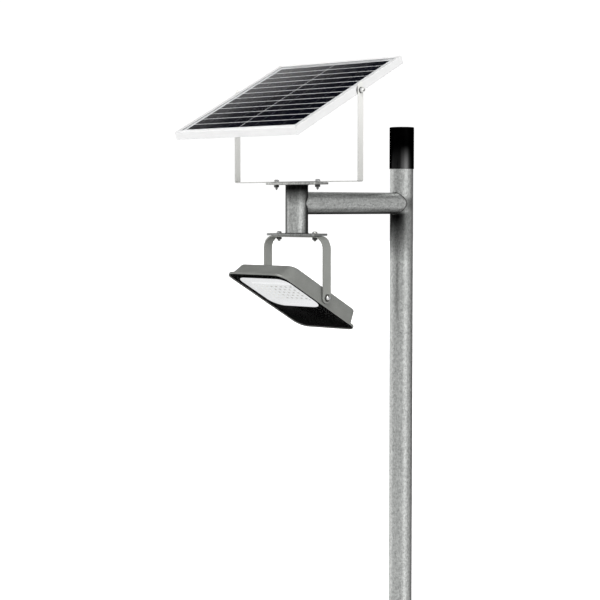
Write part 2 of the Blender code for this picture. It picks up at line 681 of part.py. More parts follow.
def make_light(white, board, lamp_pivot, face, front):
    """A tray with sloping sides behind the window, and the board of LEDs that stands on its floor."""

    def around_window(reach, corner):
        ends = (WINDOW_ENDS[0] - reach, WINDOW_ENDS[1] + reach)
        return rounded_outline(WINDOW_HALF_WIDTH + reach, ends, corner)

    flange_back = front + TRAY_WALL
    loops = [
        (around_window(-0.0043, 0.0185), TRAY_FLOOR + TRAY_WALL),
        (around_window(0.0015, 0.0235), flange_back),
        (around_window(0.0030, 0.0250), flange_back),
        (around_window(0.0030, 0.0250), front),
        (around_window(0.0003, 0.0223), front),
        (around_window(-0.0055, 0.0173), TRAY_FLOOR),
    ]
    place("reflector_tray", lofted(loops), white, lamp_pivot, face)
    columns = spans(LED_COLUMNS, LED_SIZE, LED_GAP)
    rows = spans(LED_ROWS, LED_SIZE, LED_GAP)
    sheet = padded_sheet(columns, rows, *LED_BOARD_HALF, BOARD_THICK, LED_HEIGHT)
    where = (0, face[1] + LED_BOARD_MIDDLE, face[2] + TRAY_FLOOR - GAP)
    place("led_board", sheet, board, lamp_pivot, where, UPSIDE_DOWN)


def make_batteries(black, wrap, lamp_pivot, face):
    """Four cells, two end to end in each of two rows, in an open holder."""
    half_x = CELL_18650_LENGTH + 0.0026
    half_y = 2 * CELL_18650_RADIUS + 0.0014
    ends, outer_ends = (
        (BATTERY_MIDDLE - half, BATTERY_MIDDLE + half) for half in (half_y, half_y + HOLDER_WALL)
    )
    inner = rounded_outline(half_x, ends, 0.002, 2)
    outer = rounded_outline(half_x + HOLDER_WALL, outer_ends, 0.002 + HOLDER_WALL, 2)
    floor = BATTERY_AXIS_DEPTH + CELL_18650_RADIUS + GAP
    holder = open_box(outer, inner, floor + HOLDER_WALL, BATTERY_AXIS_DEPTH, floor)
    place("battery_holder", holder, black, lamp_pivot, face)
    half = CELL_18650_LENGTH / 2
    edge = 0.0008
    profile = [
        (0, -half), (CELL_18650_RADIUS - edge, -half), (CELL_18650_RADIUS, edge - half),
        (CELL_18650_RADIUS, half - edge), (CELL_18650_RADIUS - edge, half), (0, half),
    ]
    for i, (across, along) in enumerate(QUARTERS):
        x = across * (half + 2 * GAP)
        y = BATTERY_MIDDLE + along * (CELL_18650_RADIUS + GAP)
        where = (x, face[1] + y, face[2] + BATTERY_AXIS_DEPTH)
        place(f"battery_cell_{i + 1}", turned(profile), wrap, lamp_pivot, where, TO_PLUS_X)


def make_controller(board, lamp_pivot, face):
    component_length, component_width, component_height = 0.016, 0.014, 0.005
    columns = spans(3, component_length, 0.012)
    rows = spans(1, component_width, 0)
    controller = padded_sheet(columns, rows, *CONTROLLER_HALF, BOARD_THICK, component_height)
    where = (0, face[1] + CONTROLLER_MIDDLE, face[2] + CONTROLLER_DEPTH)
    place("charge_controller", controller, board, lamp_pivot, where, UPSIDE_DOWN)


def make_lamp_pivots(zinc, lamp_pivot):
    pivot_washer = LAMP_BRACKET_WIDTH / 2 + GAP
    head = pivot_washer + WASHER_THICK + GAP
    inner_end = BOSS_INNER_END + 0.004
    for (side, sign), outward in zip(SIDES, (TO_MINUS_X, TO_PLUS_X)):
        ring = tube(WASHER_RADIUS, LAMP_PIVOT_RADIUS + GAP, 0, WASHER_THICK)
        place(f"lamp_pivot_washer_{side}", ring, zinc, lamp_pivot, (sign * pivot_washer, 0, 0), outward)
        bolt = domed_bolt(LAMP_PIVOT_RADIUS, head - inner_end, LAMP_PIVOT_HEAD)
        place(f"lamp_pivot_bolt_{side}", bolt, zinc, lamp_pivot, (sign * head, 0, 0), outward)


def main():
    clear_scene()
    steel = material("galvanised_steel", (0.42, 0.43, 0.42), 0.5, 0.6)
    pale = material("white_paint", (0.85, 0.85, 0.83), 0.4)
    grey = material("grey_paint", (0.38, 0.39, 0.37), 0.5, 0.2)
    aluminium = material("white_anodised_aluminium", (0.88, 0.88, 0.87), 0.35, 0.3)
    zinc = material("zinc_plated_steel", (0.62, 0.62, 0.60), 0.3, 1.0)
    black = material("black_plastic", (0.012, 0.012, 0.012), 0.3)
    rubber = material("black_rubber", (0.02, 0.02, 0.02), 0.7)
    white = material("white_plastic", (0.9, 0.9, 0.9), 0.4)
    nylon = material("clear_nylon", (0.75, 0.75, 0.72), 0.5)
    cells = material("solar_cells", (0.012, 0.014, 0.03), 0.25)
    glass = material("clear_glass", (0.95, 0.97, 0.97), 0.05, 0.0, 1.0)
    board = material("circuit_board", (0.85, 0.87, 0.85), 0.4)
    wrap = material("battery_wrap", (0.05, 0.16, 0.35), 0.4)

    make_base(steel)
    make_pole(steel, black)
    make_arm(steel)
    make_plates(steel)
    make_brackets(pale, grey)
    make_plate_bolts(zinc)

    panel_pivot = pivot("panel_pivot", PANEL_PIVOT_HEIGHT, PANEL_TILT)
    middle = -PANEL_PIVOT_UP_SLOPE
    make_frame(aluminium, panel_pivot, middle)
    underside = make_laminate(glass, cells, white, panel_pivot, middle)
    make_junction_box(black, panel_pivot, underside)
    make_panel_pivots(zinc, nylon, panel_pivot)

    lamp_pivot = pivot("lamp_pivot", LAMP_PIVOT_HEIGHT, -LAMP_TILT)
    face = (0, -LAMP_PIVOT_BACK, -LAMP_PIVOT_DEPTH)
    make_housing(grey, black, lamp_pivot, face)
    front = make_front(glass, rubber, black, lamp_pivot, face)
    make_light(white, board, lamp_pivot, face, front)
    make_batteries(black, wrap, lamp_pivot, face)
    make_controller(board, lamp_pivot, face)
    make_lamp_pivots(zinc, lamp_pivot)
    weld_cuts()


main()
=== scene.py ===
import json
import math

import bmesh
import bpy
from mathutils import Matrix, Vector

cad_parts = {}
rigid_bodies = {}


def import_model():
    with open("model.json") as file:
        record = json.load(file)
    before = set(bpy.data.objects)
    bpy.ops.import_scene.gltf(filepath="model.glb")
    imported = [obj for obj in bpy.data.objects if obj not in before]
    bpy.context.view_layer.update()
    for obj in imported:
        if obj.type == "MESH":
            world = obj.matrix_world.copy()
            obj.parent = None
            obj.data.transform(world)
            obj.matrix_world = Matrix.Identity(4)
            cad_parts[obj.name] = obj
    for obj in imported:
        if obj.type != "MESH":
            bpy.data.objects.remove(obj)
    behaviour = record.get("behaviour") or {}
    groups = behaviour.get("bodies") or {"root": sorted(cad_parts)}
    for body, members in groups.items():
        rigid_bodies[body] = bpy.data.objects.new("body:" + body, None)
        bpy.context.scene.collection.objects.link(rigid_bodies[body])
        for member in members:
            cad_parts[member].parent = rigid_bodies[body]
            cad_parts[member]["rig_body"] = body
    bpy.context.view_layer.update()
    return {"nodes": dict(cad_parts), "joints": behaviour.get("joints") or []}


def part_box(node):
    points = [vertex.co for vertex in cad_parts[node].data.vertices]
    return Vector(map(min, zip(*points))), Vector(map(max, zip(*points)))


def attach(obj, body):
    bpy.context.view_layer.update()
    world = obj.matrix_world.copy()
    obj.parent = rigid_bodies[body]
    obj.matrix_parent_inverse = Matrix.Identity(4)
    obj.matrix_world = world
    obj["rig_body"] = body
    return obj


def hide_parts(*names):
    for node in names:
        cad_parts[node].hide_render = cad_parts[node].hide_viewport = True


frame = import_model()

# Solar street lamp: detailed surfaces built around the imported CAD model. Metres, +Z up, the model's frame.

NODES = frame["nodes"]
JOINTS = {joint["name"]: Vector(joint["pos_m"]) for joint in frame["joints"]}
PANEL_TILT = math.radians(26.4)
LAMP_TILT = math.radians(27.7)
PANEL = Matrix.Translation(JOINTS["panel_tilt"]) @ Matrix.Rotation(PANEL_TILT, 4, "X")
LAMP = Matrix.Translation(JOINTS["lamp_tilt"]) @ Matrix.Rotation(-LAMP_TILT, 4, "X")
LAMP_FACE = (0, -0.0102, -0.0177)  # the middle of the lamp's front face, from its pivot
FACE = LAMP @ Matrix.Translation(LAMP_FACE)
HERE = Matrix.Identity(4)
TO_PLUS_X = Matrix.Rotation(math.radians(90), 4, "Y")
TO_MINUS_X = Matrix.Rotation(math.radians(-90), 4, "Y")
TO_MINUS_Y = Matrix.Rotation(math.radians(90), 4, "X")
UPSIDE_DOWN = Matrix.Rotation(math.radians(180), 4, "X")
# A side's name, its sign on X, and the turns that point Z outwards and inwards there
SIDES = (("left", -1, TO_MINUS_X, TO_PLUS_X), ("right", 1, TO_PLUS_X, TO_MINUS_X))

GAP = 0.0003  # between meshes that touch
POLE_RADIUS = 0.0265
TUBE_RADIUS = 0.02415  # the arm and the stub
TUBE_WALL = 0.002
ARM_REACH = 0.350
ARM_HEIGHT = 2.0273

PANEL_HALF_X, PANEL_HALF_Y = 0.175, 0.181
PANEL_MIDDLE = -0.0256  # the panel's middle along its slope, from its pivots
RAIL_WALL = 0.0019
CELL_WIDTH, CELL_HEIGHT, CELL_GAP = 0.156, 0.026, 0.0012
CELL_COLUMNS, CELL_ROWS = 2, 12
JUNCTION_BOX_Y = 0.085

LAMP_WIDTH, LAMP_LENGTH, LAMP_DEPTH, LAMP_CORNER = 0.1664, 0.268, 0.0365, 0.025
CORNER_STEPS = 10
TUBE_SEGMENTS = 96


# Mesh helpers

def new_object(name, data):
    obj = bpy.data.objects.new(name, data)
    bpy.context.scene.collection.objects.link(obj)
    return obj


def piece(name, bm, mat, body, replaces=(), matrix=HERE, bevel=0.0, crease=40):
    """Make a closed shape a piece that rides on a body and stands for CAD nodes."""
    bmesh.ops.recalc_face_normals(bm, faces=bm.faces)
    mesh = bpy.data.meshes.new(name)
    bm.to_mesh(mesh)
    bm.free()
    mesh.shade_smooth()
    mesh.set_sharp_from_angle(angle=math.radians(crease))
    mesh.materials.append(M[mat])
    obj = new_object(name, mesh)
    obj.matrix_world = matrix
    if bevel:
        rounding = obj.modifiers.new("edges", "BEVEL")
        rounding.width = bevel
        rounding.segments = 2
        rounding.limit_method = "ANGLE"
        rounding.angle_limit = math.radians(crease)
        rounding.harden_normals = True
    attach(obj, body)
    if replaces:
        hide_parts(*replaces)


def node_mesh(name):
    """A CAD node's shape with its seams joined and its flat areas whole."""
    source = NODES[name].data
    bm = bmesh.new()
    points = [bm.verts.new(v.co) for v in source.vertices]
    for polygon in source.polygons:
        corners = list(dict.fromkeys(polygon.vertices))
        if len(corners) > 2:
            try:
                bm.faces.new([points[i] for i in corners])
            except ValueError:
                pass
    bmesh.ops.remove_doubles(bm, verts=bm.verts, dist=0.000002)
    bmesh.ops.dissolve_degenerate(bm, dist=0.000002, edges=bm.edges)
    bmesh.ops.dissolve_limit(bm, angle_limit=math.radians(0.4), verts=bm.verts, edges=bm.edges)
    return bm


def body_of(node):
    return NODES[node]["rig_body"]


def refined(node, mat, bevel, matrix=HERE):
    """The CAD node's own shape with rounded edges."""
    bm = node_mesh(node)
    bmesh.ops.transform(bm, matrix=matrix.inverted(), verts=bm.verts)
    piece(f"{node}_finish", bm, mat, body_of(node), [node], matrix, bevel)


def node_span(node, matrix):
    """A CAD node's lowest and highest corners in another frame."""
    back = matrix.inverted()
    points = [back @ v.co for v in NODES[node].data.vertices]
    low = Vector([min(p[i] for p in points) for i in range(3)])
    high = Vector([max(p[i] for p in points) for i in range(3)])
    return low, high


def arc(centre, radius, start, end, steps):
    """Points of an arc in a profile, degrees from the first axis."""
    angles = [math.radians(start + (end - start) * i / steps) for i in range(steps + 1)]
    return [(centre[0] + radius * math.cos(a), centre[1] + radius * math.sin(a)) for a in angles]


def turned(profile, segments=48, bm=None, matrix=HERE):
    """Turn a profile of (radius, height) about Z. It starts and ends on the axis, or closes on itself."""
    bm = bm or bmesh.new()
    rings = []
    for radius, height in profile:
        count = segments if radius > 1e-7 else 1
        angles = [math.tau * (i + 0.5) / segments for i in range(count)]
        rings.append([bm.verts.new(matrix @ Vector((radius * math.cos(a), radius * math.sin(a), height)))
                      for a in angles])
    pairs = list(zip(rings, rings[1:]))
    if profile[0][0] > 1e-7:
        pairs.append((rings[-1], rings[0]))
    for first, second in pairs:
        for i in range(segments):
            j = (i + 1) % segments
            low = [first[k % len(first)] for k in (i, j)]
            high = [second[k % len(second)] for k in (j, i)]
            bm.faces.new(list(dict.fromkeys(low + high)))
    return bm


def skinned(bm, rows, ends=True):
    """Join rows of as many points each, with a face over the first and the last, or over neither."""
    if ends:
        bm.faces.new(rows[0])
        bm.faces.new(rows[-1])
    for first, second in zip(rows, rows[1:]):
        for i in range(len(first)):
            j = (i + 1) % len(first)
            bm.faces.new((first[i], first[j], second[j], second[i]))
    return bm


def lofted(loops, ring=False, bm=None, matrix=HERE):
    """Join (outline, height) loops to one closed shell, or to a ring that runs back to the first."""
    bm = bm or bmesh.new()
    rows = [[bm.verts.new(matrix @ Vector((x, y, height))) for x, y in outline] for outline, height in loops]
    return skinned(bm, rows + rows[:1] if ring else rows, not ring)


def rounded_outline(half_x, y_ends, radius, steps=6):
    """A rectangle with round corners, from the corner at high X and high Y."""
    low_y, high_y = y_ends
    side, low, high = half_x - radius, low_y + radius, high_y - radius
    corners = ((side, high, 0), (-side, high, 90), (-side, low, 180), (side, low, 270))
    return [point for x, y, start in corners for point in arc((x, y), radius, start, start + 90, steps)]


def box(low, high, bm=None):
    """A closed box between two corners."""
    x0, y0, z0 = low
    x1, y1, z1 = high
    return lofted([([(x0, y0), (x1, y0), (x1, y1), (x0, y1)], z) for z in (z0, z1)], bm=bm)


def spans(count, width, gap):
    """The ends of equal spans in a row, about 0."""
    first = (gap - count * (width + gap)) / 2
    starts = [first + i * (width + gap) for i in range(count)]
    return [(start, start + width) for start in starts]


def polar(count, radius):
    """An outline round the axis, whose radius is a number or a function of the angle."""
    angles = [math.tau * i / count for i in range(count)]
    sizes = [radius(a) if callable(radius) else radius for a in angles]
    return [(size * math.cos(a), size * math.sin(a)) for size, a in zip(sizes, angles)]


def stacked(rows, count, ring, bm, matrix):
    """Join (radius, height) rows, where a radius may be a function of the angle."""
    return lofted([(polar(count, radius), height) for radius, height in rows], ring, bm, matrix)


def hexagon_radius(flats):
    """The radius of a hexagon, as a function of the angle."""
    return lambda a: flats / 2 / math.cos((a + math.pi / 6) % (math.pi / 3) - math.pi / 6)


def direction(azimuth, elevation=0.0):
    """Towards a place at that azimuth, 0 at -Y and 90 at +X, and elevation."""
    a, e = math.radians(azimuth), math.radians(elevation)
    return Vector((math.sin(a) * math.cos(e), -math.cos(a) * math.cos(e), math.sin(e)))


# Materials

def feed(node, inputs):
    """Set a node's inputs, or link those that another node gives."""
    for key, value in inputs.items():
        if isinstance(value, bpy.types.NodeSocket):
            node.id_data.links.new(value, node.inputs[key])
        else:
            node.inputs[key].default_value = value


def add(tree, kind, inputs=(), **settings):
    made = tree.nodes.new("ShaderNode" + kind)
    for key, value in settings.items():
        setattr(made, key, value)
    feed(made, dict(inputs))
    return made


def maths(tree, operation, *values):
    return add(tree, "Math", dict(enumerate(values)), operation=operation).outputs[0]


def times(tree, *values):
    product = values[0]
    for value in values[1:]:
        product = maths(tree, "MULTIPLY", product, value)
    return product


def weighted(tree, *parts):
    """The sum of values, each times its weight."""
    total = 0.0
    for value, weight in parts:
        total = maths(tree, "MULTIPLY_ADD", value, weight, total)
    return total


def vector(tree, operation, *values):
    """A vector operation, whose result is a number for a length or a dot product."""
    outputs = add(tree, "VectorMath", dict(enumerate(values)), operation=operation).outputs
    return outputs["Value" if operation in ("LENGTH", "DOT_PRODUCT") else "Vector"]


def axis(tree, place, index):
    return add(tree, "SeparateXYZ", {"Vector": place}).outputs[index]


def facing(tree, place, azimuth):
    """How far a place lies towards an azimuth, from 1 through 0 beside it to -1 behind."""
    flat = vector(tree, "NORMALIZE", vector(tree, "MULTIPLY", place, (1, 1, 0)))
    return vector(tree, "DOT_PRODUCT", flat, direction(azimuth))


def ranged(tree, value, from_low, from_high, to_low, to_high, smooth=False):
    return add(tree, "MapRange", {"Value": value, "From Min": from_low, "From Max": from_high,
                                  "To Min": to_low, "To Max": to_high},
               interpolation_type="SMOOTHSTEP" if smooth else "LINEAR").outputs["Result"]


def mixed(tree, share, first, second, blend="MIX"):
    """A blend of two colours, each a socket or three numbers."""
    made = add(tree, "Mix", data_type="RGBA", blend_type=blend)
    colours = [(*value, 1.0) if isinstance(value, tuple) else value for value in (first, second)]
    feed(made, {0: share, 6: colours[0], 7: colours[1]})
    return made.outputs[2]


def grey(level):
    return (level, level, level)


def new_material(name):
    made = bpy.data.materials.new(name)
    made.use_nodes = True
    tree = made.node_tree
    return made, tree, tree.nodes["Principled BSDF"]


def at(tree, scale=(1, 1, 1)):
    """A point's place on its piece, stretched."""
    place = add(tree, "TexCoord").outputs["Object"]
    return add(tree, "Mapping", {"Vector": place, "Scale": scale}).outputs["Vector"]


def noise(tree, scale, detail=2.0, rough=0.5, stretch=(1, 1, 1)):
    return add(tree, "TexNoise", {"Vector": at(tree, stretch), "Scale": scale, "Detail": detail,
                                  "Roughness": rough}).outputs["Fac"]


def spread(tree, value, low, high):
    """A noise's usual values, spread from low to high."""
    return ranged(tree, value, 0.3, 0.7, low, high)


def bumped(tree, shader, height, strength, distance):
    made = add(tree, "Bump", {"Height": height, "Strength": strength, "Distance": distance})
    feed(shader, {"Normal": made.outputs["Normal"]})


def plain(name, dark, light, rough, metallic=0.0, specular=0.5, grain=700.0, bump=(900.0, 0.15, 0.0001),
          stretch=(1, 1, 1)):
    """A finish whose colour drifts between two tones in patches and grain, with a fine relief."""
    made, tree, shader = new_material(name)
    fine = noise(tree, grain, 2.0, 0.6, stretch)
    broad = noise(tree, 25.0, 3.0, 0.55)
    share = ranged(tree, weighted(tree, (fine, 0.5), (broad, 0.5)), 0.36, 0.64, 0.0, 1.0)
    feed(shader, {"Base Color": mixed(tree, share, dark, light), "Metallic": metallic,
                  "Roughness": spread(tree, broad, *rough), "Specular IOR Level": specular})
    scale, strength, distance = bump
    bumped(tree, shader, noise(tree, scale, 3.0, 0.6, stretch), strength, distance)
    return made


def painted_shade_and_light(mat, z_top, z_foot, tone, painted_light_tone):
    """Multiply a bracket's finish by a tone that grows from nothing at z_top to full at z_foot, painted shade
    that darkens it towards the foot, and by another on the left leg, painted light that makes that leg, which
    lies in more shade, paler than the right one."""
    tree = mat.node_tree
    target = tree.nodes["Principled BSDF"].inputs["Base Color"]
    colour = target.links[0].from_socket
    place = at(tree)
    foot = ranged(tree, axis(tree, place, 2), z_top, z_foot, 0.0, 1.0)
    left = ranged(tree, axis(tree, place, 0), -0.05, 0.05, 1.0, 0.0, True)
    # Painted shade towards the foot, and painted light on the left leg
    for share, level in ((foot, tone), (left, painted_light_tone)):
        colour = mixed(tree, share, colour, mixed(tree, 1.0, colour, grey(level), "MULTIPLY"))
    tree.links.new(colour, target)
    return mat


def painted_glow(mat, colour, strength, left_strength=None):
    """Let a finish glow a little, as painted light rather than a lamp. With a left strength, the glow changes
    to it left of the lamp's middle.
    """
    tree = mat.node_tree
    glow = strength
    if left_strength is not None:
        glow = ranged(tree, axis(tree, at(tree), 0), -0.024, -0.004, left_strength, strength, True)
    feed(tree.nodes["Principled BSDF"], {"Emission Color": (*colour, 1.0), "Emission Strength": glow})
    return mat


def galvanised(name, tone, shade=None, streak=(1, 1, 0.02), stretch=(1, 1, 0.45)):
    """Zinc-coated steel: a mottle of small crystals, speckle and long faint draw lines.
    shade, a function of the node tree, gives the share covered by painted shade, which goes near-black."""
    made, tree, shader = new_material(name)
    crystals = add(tree, "TexVoronoi", {"Vector": at(tree), "Scale": 260.0, "Randomness": 1.0})
    mottle = add(tree, "SeparateColor", {"Color": crystals.outputs["Color"]}).outputs[0]
    speckle = noise(tree, 330.0, 3.0, 0.75, stretch)
    lines = noise(tree, 420.0, 2.0, 0.6, streak)
    broad = noise(tree, 9.0, 3.0, 0.5)
    tint = weighted(tree, (mottle, 0.16), (speckle, 0.66), (lines, 0.14), (broad, 0.04))
    colour = mixed(tree, 1.0, tone, ranged(tree, tint, 0.34, 0.66, 0.64, 1.34), "MULTIPLY")
    # Painted shade: the shaded share turns near-black and mirrors less
    if shade:
        share = maths(tree, "ADD", shade(tree), spread(tree, speckle, -0.03, 0.03))
        share = ranged(tree, share, 0.03, 1.0, 0.0, 1.0)
        colour = mixed(tree, share, colour, grey(0.003))
        feed(shader, {"Specular Tint": mixed(tree, share, grey(1.0), grey(0.04))})
    feed(shader, {"Base Color": colour, "Metallic": 0.82, "Roughness": spread(tree, speckle, 0.27, 0.37)})
    bumped(tree, shader, weighted(tree, (speckle, 1.0), (mottle, 0.3)), 0.12, 0.0003)
    return made


def shade_fading(tree, place, z_clear, z_dark, power):
    """Painted shade, full at z_dark and thinning out to nothing at z_clear."""
    bare = ranged(tree, axis(tree, place, 2), z_clear, z_dark, 1.0, 0.0)
    return maths(tree, "SUBTRACT", 1.0, maths(tree, "POWER", bare, power))


def across_arm(tree, place):
    """The way to a place from the arm's axis, square to the arm."""
    return vector(tree, "MULTIPLY", vector(tree, "ADD", place, (0, 0, -ARM_HEIGHT)), (1, 0, 1))


def pole_painted_shade(tree):
    """Painted shadow on the pole's arm side below the arm, and a darker ring of painted shade round the lower
    part of the arm's end.
    """
    place = at(tree)
    level = axis(tree, place, 2)
    front = facing(tree, place, 0)
    z_dark = ARM_HEIGHT - TUBE_RADIUS - 0.002
    # Painted shadow below the arm, and a ring of painted shade round the arm's end
    below = times(tree, shade_fading(tree, place, ARM_HEIGHT - 0.135, z_dark, 1.7),
                  ranged(tree, level, z_dark + 0.018, z_dark, 0.0, 1.0, True),
                  ranged(tree, front, -0.5, 0.95, 0.0, 1.0, True))
    reach = vector(tree, "LENGTH", across_arm(tree, place))
    ring = times(tree, ranged(tree, reach, TUBE_RADIUS, TUBE_RADIUS + 0.015, 0.64, 0.0, True),
                 ranged(tree, level, ARM_HEIGHT + 0.018, ARM_HEIGHT + 0.006, 0.0, 1.0, True),
                 ranged(tree, front, -0.45, 0.05, 0.0, 1.0, True))
    return maths(tree, "MAXIMUM", below, ring)


def stub_painted_shade(tree):
    """Painted shade on the stub below the upper plate, and painted shade in bands down both sides."""
    place = at(tree)
    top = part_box("upper_plate")[0].z
    # Painted shade under the plate and down the stub's sides
    below = shade_fading(tree, place, top - 0.046, top - 0.008, 1.3)
    front = facing(tree, vector(tree, "ADD", place, (0, ARM_REACH, 0)), 37)
    bands = times(tree, ranged(tree, front, 0.43, 0.83, 0.8, 0.0, True),
                  ranged(tree, front, -0.35, 0.15, 0.0, 1.0, True))
    return maths(tree, "MAXIMUM", below, bands)


def arm_painted_shade(tree):
    """Painted shade along the arm's lowest line."""
    around = vector(tree, "NORMALIZE", across_arm(tree, at(tree)))
    return ranged(tree, vector(tree, "DOT_PRODUCT", around, (0, 0, -1)), 0.68, 0.95, 0.0, 0.9, True)


def black_gloss(name, low, high, rough, z_ends=None):
    """Black gloss that mirrors little, between a low and a high strength. With z_ends, a painted reflection:
    the mirror strength grows between those heights, most on one side."""
    made, tree, shader = new_material(name)
    smear = noise(tree, 60.0, 3.0, 0.6)
    share = spread(tree, smear, 0.0, 0.25)
    # Painted reflection, strongest low down and on one side
    if z_ends:
        place = at(tree)
        down = ranged(tree, axis(tree, place, 2), *z_ends, 0.0, 1.0, True)
        side = ranged(tree, facing(tree, place, 56), 0.90, 1.0, 0.14, 1.0, True)
        share = weighted(tree, (times(tree, down, side), 1.0), (share, 0.03))
    feed(shader, {"Base Color": mixed(tree, share, grey(low), grey(high)), "Metallic": 1.0,
                  "Roughness": spread(tree, smear, *rough), "Specular Tint": (0.005, 0.005, 0.005, 1.0)})
    bumped(tree, shader, noise(tree, 500.0, 2.0, 0.5), 0.04, 0.0001)
    return made


def zinc():
    """Bright zinc plate that drifts between a warm and a blue cast."""
    made, tree, shader = new_material("bright_zinc")
    cast = ranged(tree, noise(tree, 160.0, 2.0, 0.5), 0.35, 0.65, 0.0, 1.0)
    colour = mixed(tree, cast, (0.62, 0.61, 0.57), (0.74, 0.75, 0.77))
    feed(shader, {"Base Color": colour, "Metallic": 1.0,
                  "Roughness": spread(tree, noise(tree, 900.0, 2.0, 0.6), 0.2, 0.36)})
    bumped(tree, shader, noise(tree, 1600.0, 2.0, 0.6), 0.1, 0.00005)
    return made


def silicon():
    """Blue-black cells with fine silver fingers, each cell a slightly different tone."""
    made, tree, shader = new_material("solar_silicon")
    place = at(tree)
    across = axis(tree, place, 0)
    along = maths(tree, "SUBTRACT", axis(tree, place, 1), PANEL_MIDDLE)
    column = maths(tree, "FLOOR", maths(tree, "DIVIDE", across, CELL_WIDTH + CELL_GAP))
    row = maths(tree, "FLOOR", maths(tree, "DIVIDE", along, CELL_HEIGHT + CELL_GAP))
    cell = add(tree, "CombineXYZ", {0: column, 1: row}).outputs[0]
    own = add(tree, "TexWhiteNoise", {"Vector": cell}, noise_dimensions="3D").outputs["Value"]
    cloud = noise(tree, 40.0, 3.0, 0.6, (1, 0.35, 1))
    tone = weighted(tree, (own, 0.5), (cloud, 0.5))
    colour = mixed(tree, tone, (0.0006, 0.0009, 0.0032), (0.0020, 0.0028, 0.0095))
    finger = maths(tree, "LESS_THAN", maths(tree, "FRACT", maths(tree, "DIVIDE", across, 0.0018)), 0.05)
    colour = mixed(tree, finger, colour, (0.02, 0.02, 0.024))
    feed(shader, {"Base Color": colour, "Specular IOR Level": 0.5,
                  "Roughness": spread(tree, cloud, 0.03, 0.06)})
    return made


def clear(name, tint, rough, specular):
    """A thin clear pane."""
    made, tree, shader = new_material(name)
    smear = noise(tree, 35.0, 3.0, 0.6)
    feed(shader, {"Base Color": (*tint, 1.0), "Alpha": 0.04, "Specular IOR Level": specular,
                  "Roughness": ranged(tree, smear, 0.35, 0.7, rough, rough + 0.08)})
    return made


